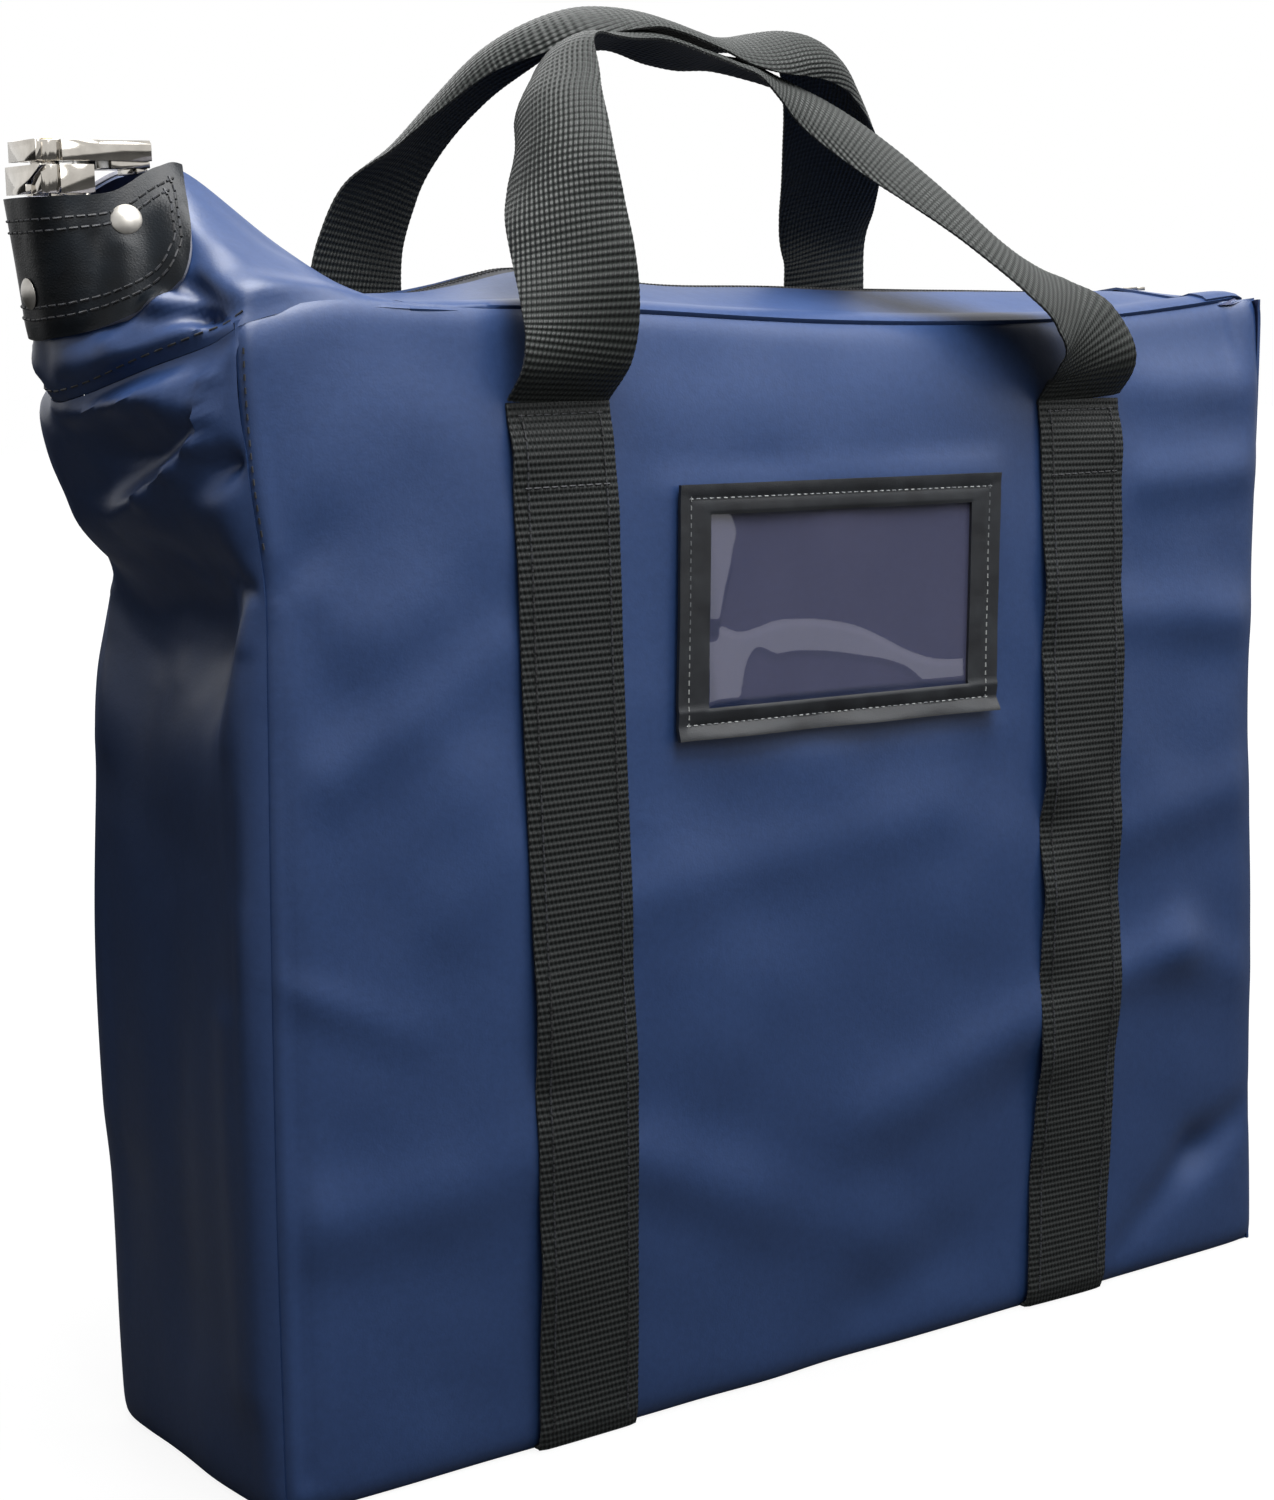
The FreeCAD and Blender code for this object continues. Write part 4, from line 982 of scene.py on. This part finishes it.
# Webbing through stations, each a row: centre, direction to its outer edge, curl of its section in radians
def webbingStrip(name, stations, startLength=0.0, material=paintedShadeYarn):
    stations = np.array(stations, float)
    chord = np.concatenate([[0], np.cumsum(np.linalg.norm(np.diff(stations[:, :3], axis=0), axis=1))])
    rows = int(chord[-1] / webbing["step"]) + 1
    at = np.linspace(0, chord[-1], rows)
    drawn = through(list(zip(chord, stations)), at)
    centre, edge, curl = drawn[:, :3], drawn[:, 3:6], drawn[:, 6:]
    curl = np.where(np.abs(curl) < 0.02, 0.02, curl)
    ahead = unit(np.gradient(centre, axis=0))
    side = unit(edge - ahead * (edge * ahead).sum(-1, keepdims=True))
    normal = np.cross(ahead, side)
    a = np.linspace(-1, 1, webbing["across"])[None, :]
    radius = webbing["width"] / curl
    angle = a * curl / 2
    offAcross = radius * np.sin(angle)
    offNormal = radius * (1 - np.cos(angle))
    offNormal = offNormal - offNormal.mean(axis=1, keepdims=True)
    half = webbing["thickness"] / 2 * (1 - 0.6 * np.abs(a) ** 12)
    middle = centre[:, None] + side[:, None] * offAcross[..., None] + normal[:, None] * offNormal[..., None]
    out = normal[:, None] * np.cos(angle)[..., None] - side[:, None] * np.sin(angle)[..., None]
    outer = middle + out * half[..., None]
    inner = (middle - out * half[..., None])[:, ::-1]
    ring = np.concatenate([outer, inner], axis=1)
    count = ring.shape[1]
    across = np.concatenate([a[0], a[0][::-1] + 2.5]) * webbing["width"] / 2
    along = at + startLength
    uv = np.stack(np.broadcast_arrays(across[None, :], along[:, None]), -1).reshape(-1, 2)
    faces = gridFaces(rows, count, wrap=True).tolist()
    faces.append(list(range(count))[::-1])
    faces.append(list(range((rows - 1) * count, rows * count)))
    piece = newPiece(name, ring.reshape(-1, 3), faces, [material], uv, 70)
    attribute = piece.data.attributes.new("alongWeb", "FLOAT", "POINT")
    attribute.data.foreach_set("value", np.repeat(along, count).astype(np.float32))
    throughNodes(piece, ribs, {"Rib Pitch": webbing["ribPitch"], "Rib Depth": webbing["ribDepth"] * mm}, 70)
    piece.data.attributes.remove(piece.data.attributes["alongWeb"])
    return piece


straps = {
    # node: side, x of the foot, x at the top, top of the sewn part
    "front_left_strap": (-1, -103.0, -103.0, 334.0),
    "front_right_strap": (-1, 108.0, 116.5, 327.0),
    "back_left_strap": (1, -103.0, -103.0, 334.0),
    "back_right_strap": (1, 108.0, 98.0, 327.0),
}
# where each strap puckers: height, width of the pucker, depth, and how far it turns the strap
puckers = {
    "front_left_strap": [(331, 4, -0.9, 0.0), (318, 7, 0.5, 0.03), (300, 9, 0.3, -0.03),
                         (150, 14, 0.5, 0.05), (118, 9, -0.5, -0.05), (60, 16, 0.4, 0.04)],
    "front_right_strap": [(324, 4, -0.9, 0.0), (310, 8, 0.5, -0.04), (262, 10, 0.4, 0.06),
                          (238, 8, -0.4, -0.05), (196, 10, 0.5, 0.07), (176, 8, -0.5, -0.07),
                          (152, 9, 0.5, 0.08), (120, 9, -0.4, -0.07), (92, 10, 0.5, 0.06),
                          (50, 14, -0.3, -0.04)],
    "back_left_strap": [(331, 4, -0.9, 0.0), (300, 9, 0.5, 0.04), (210, 12, -0.4, -0.05),
                        (120, 12, 0.5, 0.05)],
    "back_right_strap": [(324, 4, -0.9, 0.0), (280, 10, 0.5, -0.05), (190, 12, -0.4, 0.05),
                         (90, 12, 0.5, -0.04)],
}


def camel(node):
    words = node.split("_")
    return words[0] + "".join(word.capitalize() for word in words[1:])


def strapMiddle(node, x, z):
    side = straps[node][0]
    slack = sum(depth * math.exp(-((z - at) / wide) ** 2) for at, wide, depth, _ in puckers[node])
    return side * (reachOf(side, x, z) + webbing["thickness"] / 2 + webbing["standOff"] + slack)


def strapTurn(node, z):
    return sum(turn * math.exp(-((z - at) / wide) ** 2) for at, wide, _, turn in puckers[node])


def sewnStrap(node):
    side, footX, topX, topZ = straps[node]
    stations = []
    for z in np.linspace(0.5, topZ, 60):
        x = footX + (topX - footX) * z / topZ
        y = strapMiddle(node, x, z) if z > 3 else side * (halfDepth + 0.9)
        stations.append((x, y, z, -side, strapTurn(node, z), 0, 0))
    place(webbingStrip(camel(node), stations), "bag", "webbing", node)


def baseStrap(node):
    low, high = corners(node)
    x = (low[0] + high[0]) / 2
    z = (low[2] + high[2]) / 2
    stations = [(x, y, z, 1, 0, 0, 0) for y in np.linspace(low[1] + 1.2, high[1] - 1.2, 9)]
    place(webbingStrip(camel(node), stations), "bag", "webbing", node)


for node in straps:
    sewnStrap(node)
baseStrap("base_left_strap")
baseStrap("base_right_strap")

frontRoute = [  # centre, direction to one edge, curl; the first and last few follow the sewn straps
    (-102, -64.6, 345, -1, 0.05, 0, 0.0),
    (-101, -66.6, 356, -0.98, 0.16, 0, -0.1),
    (-101, -66, 366, -0.95, 0.3, 0, -0.2),
    (-101, -63, 378, -0.88, 0.46, 0, -0.4),
    (-101, -58.6, 391, -0.8, 0.6, 0, -0.8),
    (-99.5, -53, 403, -0.57, 0.82, 0, -1.2),
    (-96, -46, 415, -0.4, 0.92, 0, -1.8),
    (-91, -36, 427, -0.17, 0.98, 0, -2.0),
    (-81, -23, 436.5, 0.25, 0.95, -0.2, -1.7),
    (-67, -11, 443, 0.15, 0.97, -0.2, -1.3),
    (-52, -5, 447, 0, 1, -0.1, -1.0),
    (-34, -3, 449.2, 0, 1, 0, -0.8),
    (-16, -3, 445, 0, 1, 0, -0.8),
    (-4, -3, 442.6, 0, 1, 0.05, -0.8),
    (8, -4, 441.2, 0.1, 0.98, 0.15, -0.9),
    (20, -7, 436, 0.25, 0.92, 0.3, -1.0),
    (31, -12, 429, 0.42, 0.8, 0.42, -1.2),
    (42, -19, 420.5, 0.5, 0.74, 0.45, -1.4),
    (52, -27, 411, 0.55, 0.72, 0.42, -1.4),
    (61, -36, 401, 0.6, 0.72, 0.32, -1.3),
    (70, -45, 390.5, 0.65, 0.72, 0.24, -1.0),
    (79, -53, 380, 0.7, 0.7, 0.16, -0.8),
    (90, -60, 369.5, 0.78, 0.6, 0.13, -0.5),
    (101, -64.4, 360, 0.88, 0.42, 0.08, -0.3),
    (110, -66.4, 350, 0.96, 0.2, 0.05, -0.1),
    (115, -64.8, 338.5, 1, 0, 0, 0.0),
]
backRoute = [
    (-104.6, 62.6, 345, -1, 0, 0, 0.0),
    (-105.8, 62.4, 357, -1, 0, 0, 0.1),
    (-106, 62, 370, -0.99, -0.1, 0, 0.2),
    (-104, 61, 385, -0.98, -0.2, 0, 0.4),
    (-99, 56, 402, -0.96, -0.28, 0, 0.6),
    (-92, 46, 416, -0.84, -0.54, 0, 1.0),
    (-85, 32, 430, -0.74, -0.67, 0.03, 1.6),
    (-76, 16, 443, -0.6, -0.78, 0.1, 2.4),
    (-66, 5, 450, -0.45, -0.88, 0, 2.6),
    (-56, 0, 454, -0.25, -0.96, -0.08, 2.0),
    (-46, -1, 455.6, -0.1, -0.99, -0.1, 1.4),
    (-36, -1, 455.6, 0, -1, -0.08, 1.0),
    (-25, -1, 453.6, 0, -1, -0.08, 0.9),
    (-13, -1, 450.6, 0, -1, -0.1, 0.9),
    (-3, -1, 448.4, 0, -1, -0.14, 1.0),
    (8, -2, 447.4, 0, -0.97, -0.22, 1.4),
    (19, -2, 448, 0, -0.95, -0.3, 2.0),
    (30, -1, 448.6, 0.05, -0.95, -0.32, 2.5),
    (41, 1, 447.4, 0.14, -0.95, -0.3, 2.7),
    (51, 5, 443.4, 0.28, -0.93, -0.24, 2.6),
    (59, 11, 437, 0.42, -0.89, -0.18, 2.3),
    (67, 19, 428.6, 0.58, -0.8, -0.1, 1.9),
    (75, 29, 418.6, 0.75, -0.65, 0, 1.4),
    (83, 40, 407, 0.88, -0.45, 0, 1.0),
    (90, 51, 395, 0.96, -0.25, 0, 0.6),
    (96, 59.6, 382, 1, 0, 0, 0.2),
    (98, 62.2, 369, 1, 0, 0, 0.0),
    (98.6, 62.8, 354, 1, 0, 0, 0.0),
    (98.2, 62.4, 340, 1, 0, 0, 0.0),
]


def sewnEnd(node):  # where the sewn length stops and the handle carries on
    _, footX, topX, topZ = straps[node]
    return topX, strapMiddle(node, topX, topZ), topZ, -1 if footX < 0 else 1, 0, 0, 0


def handle(name, route, left, right, body):
    start, end = sewnEnd(left), sewnEnd(right)
    piece = webbingStrip(name, [start] + route + [end], webbing["ribPitch"] * webbing["ribsSewn"], paintedLitYarn)
    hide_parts(body)
    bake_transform(piece)


handle("frontHandle", frontRoute, "front_left_strap", "front_right_strap", "front_handle")
handle("backHandle", backRoute, "back_left_strap", "back_right_strap", "back_handle")
print("webbing ready")


# what repeats along a path: stitches and the zip's coils

def runTree():  # short rods along a path, either in line with it or across it
    tree, given = nodeTree("rods along a path", (
        ("Pitch", "Float"), ("Rod Length", "Float"), ("Rod Radius", "Float"), ("In Line", "Float"),
        ("Material", "Material")))
    path = addNode(tree, "GeometryNodeMeshToCurve", {"Mesh": given["Geometry"]})
    points = addNode(tree, "GeometryNodeResampleCurve", {"Curve": path, "Length": given["Pitch"]},
                     mode="LENGTH")
    rod = addNode(tree, "GeometryNodeMeshCylinder", {
        "Vertices": 6, "Side Segments": 2, "Radius": given["Rod Radius"], "Depth": given["Rod Length"]})
    tangent = addNode(tree, "GeometryNodeInputTangent")
    across = addNode(tree, "FunctionNodeRotateRotation", {1: (math.pi / 2, 0, 0)})
    aligned = addNode(tree, "FunctionNodeAlignRotationToVector", {
        "Rotation": across, "Factor": given["In Line"], "Vector": tangent}, axis="Z")
    rods = addNode(tree, "GeometryNodeInstanceOnPoints", {
        "Points": points, "Instance": rod, "Rotation": aligned})
    real = addNode(tree, "GeometryNodeRealizeInstances", {"Geometry": rods})
    painted = addNode(tree, "GeometryNodeSetMaterial", {"Geometry": real, "Material": given["Material"]})
    addNode(tree, "NodeGroupOutput", {"Geometry": painted})
    return tree


runs = runTree()


def rodsAlong(name, paths, pitch, length, radius, material, inLine=1.0):
    points, edges = [], []
    for path in paths:
        first = len(points)
        points += [tuple(p) for p in path]
        edges += [(i, i + 1) for i in range(first, len(points) - 1)]
    mesh = bpy.data.meshes.new(name)
    mesh.from_pydata((np.array(points) * mm).tolist(), edges, [])
    piece = bpy.data.objects.new(name, mesh)
    bpy.context.scene.collection.objects.link(piece)
    return throughNodes(piece, runs, {
        "Pitch": pitch * mm, "Rod Length": length * mm, "Rod Radius": radius * mm, "In Line": inLine,
        "Material": material}, 40)


sizeOfStitch = {"pitch": 3.1, "length": 2.3, "radius": 0.34}


def stitches(name, paths, thread, body, slot, **change):
    size = {**sizeOfStitch, **change}
    piece = rodsAlong(name, paths, size["pitch"], size["length"], size["radius"], thread)
    return place(piece, body, slot)


def collarStitchPaths():  # along the rim, down one end, along the lower edge and up the other end
    paths = []
    length, height = collar["flat"]
    for inset in collar["stitchRows"]:
        a, b = inset / length, inset / height
        turn = 0.12
        ring = [(s, b) for s in np.linspace(a + 0.01, 1 - a - 0.01, 80)]
        ring += [(1 - a, r) for r in np.linspace(b + 0.05, 1 - b - turn, 12)]
        ring += [(s, 1 - b) for s in np.linspace(1 - a - 0.03, a + 0.03, 80)]
        ring += [(a, r) for r in np.linspace(1 - b - turn, b + 0.05, 12)]
        s, r = np.array(ring + ring[:1]).T
        paths.append(collarSurface(s, r, collar["lift"] + 0.1))
    return paths


stitches("collarStitches", collarStitchPaths(), darkThread, "bag", "collar_leather",
         pitch=3.4, length=2.5, radius=0.4)


def strapStitchPaths(node):
    side, footX, topX, topZ = straps[node]
    paths = []
    inset = webbing["width"] / 2 - 4.6

    def at(offset, z):
        x = footX + (topX - footX) * z / topZ
        out = webbing["thickness"] / 2 + 0.05
        y = strapMiddle(node, x, z) + side * out - side * strapTurn(node, z) * offset
        return (x + offset, y, z)

    heights = np.linspace(8, topZ - 4, 110)
    for offset in (-inset, inset):
        paths.append([at(offset, z) for z in heights])
    for z in (topZ - 4, topZ - 26):
        paths.append([at(offset, z) for offset in np.linspace(-inset, inset, 12)])
    return paths


for node in straps:
    stitches(camel(node) + "Stitches", strapStitchPaths(node), darkThread, "bag", "webbing")


def earSeamStitches():
    u = np.linspace(2.05, 2 * noseColumn - 2.05, 160)
    paths = [earSurface(u, np.full_like(u, 0.945), 0.1)]
    stitches("earSeamStitches", paths, darkThread, "bag", "nylon", pitch=4.4, length=2.6, radius=0.32)


earSeamStitches()


def cornerStitches():  # where the front meets the left side, close under the ear
    z = np.linspace(352, 296, 40)
    x = through(body["frontLeftSeam"], z) + 1.2
    path = np.stack([x, np.full_like(z, -halfDepth + 2.6), z], -1)
    stitches("cornerStitches", [path], darkThread, "bag", "nylon", pitch=3.6, length=1.8, radius=0.34)


cornerStitches()


# zip coils

coil = {"pitch": 1.5, "length": 2.4, "radius": 0.55}


def coilAlong(name, paths):
    return rodsAlong(name, paths, coil["pitch"], coil["length"], coil["radius"], coilNylon, 0.0)


def zipCoils():
    ends = top["coil"]
    for side, front in ((-1, "front"), (1, "back")):
        for half, start, end in (("Left", ends[0], top["middle"]), ("Right", top["middle"], ends[1])):
            x = np.linspace(start, end, 90)
            path = topPoint(side, x, np.full_like(x, top["coilShare"]), -1.5)
            piece = coilAlong(front + "Coil" + half, [path])
            replaced = front + "_zipper_teeth" if half == "Right" else None
            dressFlap(piece, end, replaced)


def earZip():
    low, high = corners("ear_zipper_tape")
    run = [np.array([high[0] - 0.6, 0, low[2] + 0.4]), np.array([low[0] + 0.6, 0, high[2] - 0.4])]
    strips = []
    for side in (-1, 1):
        share = np.linspace(0, 1, 40)[None, :]
        wide = np.linspace(1.4, high[1] + 0.6, 8)[:, None]
        points = run[0] + (run[1] - run[0]) * share[..., None] + np.array([0, 1, 0]) * side * wide[..., None]
        points[..., 2] += 0.5 * np.sin(share * 22 + wide * 0.4)
        strips.append(thicken(gridPiece("earTape" + str(side), points, tape, turn=side > 0), 0.7))
    place(joinPieces("earZipTape", strips), "bag", "zip_tape", "ear_zipper_tape")
    paths = [[p + np.array([0, side * 2.5, 0.3]) for p in (run[0], run[1])] for side in (-1, 1)]
    place(coilAlong("earZipCoils", paths), "bag", "zip_coil", "ear_zipper_teeth")


def joinPieces(name, pieces):
    first = pieces[0]
    mesh = bmesh.new()
    for piece in pieces:
        mesh.from_mesh(piece.data)
    mesh.to_mesh(first.data)
    mesh.free()
    for piece in pieces[1:]:
        bpy.data.objects.remove(piece)
    first.name = name
    first.data.name = name
    shadeSmooth(first, 50)
    return first


zipCoils()
earZip()
print("stitches and zip ready")


# card pocket

window = {
    "half": (55.5, 31.0),
    "overlap": 5,          # how far the vinyl reaches behind the frame
    "vinyl": 0.35,
    # the vinyl has come away from the card below an arch and along its left edge, and leans back there
    "arch": [(-56, -3.5), (-50, -5.5), (-42, -8), (-36, -7), (-27, -5), (-20, -5), (-5, -6.4), (8, -9.4),
             (18, -13.5), (28, -18), (41, -22), (56, -23)],
    "lowerArch": [(-56, -36), (-45, -32), (-41, -19), (-27, -15.3), (-8, -15.7), (8, -18.3), (21, -21),
                  (28, -23.5), (40, -32), (56, -36)],
    "leftEdge": [(-31, -57), (-4, -50.2), (6, -47.7), (15.5, -45), (25, -44.7), (31, -47)],
}
lifts = {"backing": 0.25, "vinyl": 0.75, "frame": 2.1}   # how far each layer stands off the cloth
pocketHalf, windowHalf = np.array(pocket["half"]), np.array(window["half"])


def pocketPoint(a, b, lift):  # a to the right and b up from the pocket's middle, lifted off the panel
    x = pocket["middle"][0] + a + b * pocket["shear"][0]
    z = pocket["middle"][1] + b + a * pocket["shear"][1]
    out = reachOf(-1, x, z) + lift
    return np.stack([x, -out, z], -1)


def frameLift(a, b):  # how far the frame's surface stands off the cloth
    outside = np.minimum(pocketHalf[0] - np.abs(a), pocketHalf[1] - np.abs(b))
    foot, ends, head = pocket["flare"]
    lift = lifts["frame"] + foot * smooth(1 - (pocketHalf[1] + b) / 5) * (0.75 + 0.25 * np.sin(a / 9))
    lift = lift + ends * smooth(1 - (pocketHalf[0] - np.abs(a)) / 4)
    lift = lift + head * smooth(1 - (pocketHalf[1] - b) / 4)
    lift = lift - 0.4 * np.exp(-((outside - pocket["stitchInset"]) / 0.9) ** 2)
    lift = lift + 0.11 * np.clip(b + 36.2, 0, 5.2) * smooth((-30 - b) / 2)
    return lift + ripples(a, b, 31, 0.3, 20, 60)


def pocketFrame():
    a = frameLines(pocketHalf[0], windowHalf[0])
    b = frameLines(pocketHalf[1], windowHalf[1])
    a, b = np.meshgrid(a, b)
    inside = np.maximum(np.abs(a) - windowHalf[0], np.abs(b) - windowHalf[1])
    points = pocketPoint(a, b, frameLift(a, b) + 0.25 * smooth(inside / 1.2))
    rows, columns = a.shape
    faces = gridFaces(rows, columns)
    keep = inside.reshape(-1)[faces].mean(axis=1) > 0.01
    piece = newPiece("pocketFrame", points.reshape(-1, 3), faces[keep], [leatherette],
                     np.stack([a, b], -1).reshape(-1, 2))
    clearLoose(piece)
    thicken(piece, pocket["frame"], sharp=45)
    place(piece, "bag", "frame_leatherette", "card_frame")


def clearLoose(piece):
    mesh = bmesh.new()
    mesh.from_mesh(piece.data)
    bmesh.ops.delete(mesh, geom=[v for v in mesh.verts if not v.link_faces], context="VERTS")
    mesh.to_mesh(piece.data)
    mesh.free()


def frameLines(half, window):
    rim = np.concatenate([[0, 0.4, 1.0, 1.8, 2.8, 3.8, 4.6, 5.4, 6.6], np.linspace(8, half - window - 0.8, 3),
                          [half - window - 0.3, half - window]])
    side = half - rim
    inner = np.linspace(-window, window, 60)[1:-1]
    return np.concatenate([-side, inner, side[::-1]])


def pocketGrid(half, columns, rows):
    return np.meshgrid(np.linspace(-half[0], half[0], columns), np.linspace(-half[1], half[1], rows))


def pocketWindow():
    a, b = pocketGrid(windowHalf + window["overlap"], 150, 90)
    upper, lower = through(window["arch"], a), through(window["lowerArch"], a)
    left = through(window["leftEdge"], b)
    below = np.maximum(upper - b, 0)
    lean = 0.13 * below + 0.3 * smooth(below / 1.8)
    lean = lean - 0.3 * smooth((lower - b) / 2.2) - 0.1 * np.maximum(lower - b, 0)
    strip = np.maximum(left - a, 0)
    lean = lean + (windowHalf[1] - b) * 0.085 * smooth(strip / 2.6) * smooth((b + 10) / 8)
    inside = smooth(np.minimum(windowHalf[0] + 1 - np.abs(a), windowHalf[1] + 1 - np.abs(b)) / 3.5)
    points = pocketPoint(a, b, lifts["vinyl"] + lean * inside)
    piece = thicken(gridPiece("pocketWindow", points, vinyl, np.stack([a, b], -1)), window["vinyl"])
    place(piece, "bag", "pocket_vinyl", "card_window")


def pocketBacking():
    a, b = pocketGrid(pocketHalf - 3, 50, 34)
    piece = gridPiece("pocketBacking", pocketPoint(a, b, lifts["backing"]), nylon, np.stack([a, b], -1))
    place(thicken(piece, 0.3), "bag", "pocket_backing", "card_backing")


def pocketStitches():
    inset = pocket["stitchInset"]
    a, b = pocketHalf - inset
    ring = []
    corner = [(-a, -b), (a, -b), (a, b), (-a, b), (-a, -b)]
    for (a0, b0), (a1, b1) in zip(corner, corner[1:]):
        share = np.linspace(0, 1, 50)
        a, b = a0 + (a1 - a0) * share, b0 + (b1 - b0) * share
        ring.append(pocketPoint(a, b, frameLift(a, b) + 0.3))
    stitches("pocketStitches", ring, greyThread, "bag", "frame_leatherette",
             pitch=2.7, length=1.5, radius=0.27)


pocketFrame()
pocketWindow()
pocketBacking()
pocketStitches()
print("card pocket ready")


# metal pieces: the CAD shapes with their edges eased

def easedMetal(node, material, body, slot, bevel, sharp=32):
    piece = bpy.data.objects.new(camel(node), nodes[node].data.copy())
    bpy.context.scene.collection.objects.link(piece)
    mesh = bmesh.new()
    mesh.from_mesh(piece.data)
    bmesh.ops.remove_doubles(mesh, verts=mesh.verts, dist=0.002 * mm)
    bmesh.ops.dissolve_limit(mesh, angle_limit=math.radians(0.05), verts=mesh.verts, edges=mesh.edges)
    mesh.to_mesh(piece.data)
    mesh.free()
    piece.data.materials.clear()
    piece.data.materials.append(material)
    if bevel:
        ease = piece.modifiers.new("eased edges", "BEVEL")
        ease.width = bevel * mm
        ease.segments = 3
        ease.limit_method = "ANGLE"
        ease.angle_limit = math.radians(35)
        ease.harden_normals = True
    settle(piece, sharp)
    place(piece, body, slot, node)


easedMetal("lock_body", nickel, "bag", "nickel", 0.3)
easedMetal("lock_cap", nickel, "lock_cap", "nickel", 0.3)
easedMetal("lock_barrel", nickel, "lock_cap", "nickel", 0.12)
easedMetal("key_plug", brass, "key_plug", "brass", 0.08)
easedMetal("collar_rivets", rivetNickel, "bag", "nickel", 0.2, 50)
easedMetal("zipper_slider", zipMetal, "zipper_slider", "zip_metal", 0.15)
easedMetal("slider_pull", zipMetal, "slider_pull", "zip_metal", 0.15)
easedMetal("zipper_end_stop", zipMetal, "bag", "zip_metal", 0.15)
# the end stop is brought down onto the cloth, which lies lower than the CAD ridge, and a little into it
endStop, sunk = bpy.data.objects["zipperEndStop"].data, 0.4
stopX = endStop.vertices[0].co.x / mm
stopDrop = min(v.co.z for v in endStop.vertices) / mm - float(through(top["ridge"], stopX)) - sunk
endStop.transform(Matrix.Translation((0, 0, -stopDrop * mm)))

kept = {
    "base_board": boardPlastic, "lock_anchor_plate": steel, "cap_spring": steel, "cap_studs": steel,
    "lock_cam": steel, "key_pins": brass, "driver_pins": brass,
}
for node, material in kept.items():
    nodes[node].data.materials.clear()
    nodes[node].data.materials.append(material)
print("metal ready")
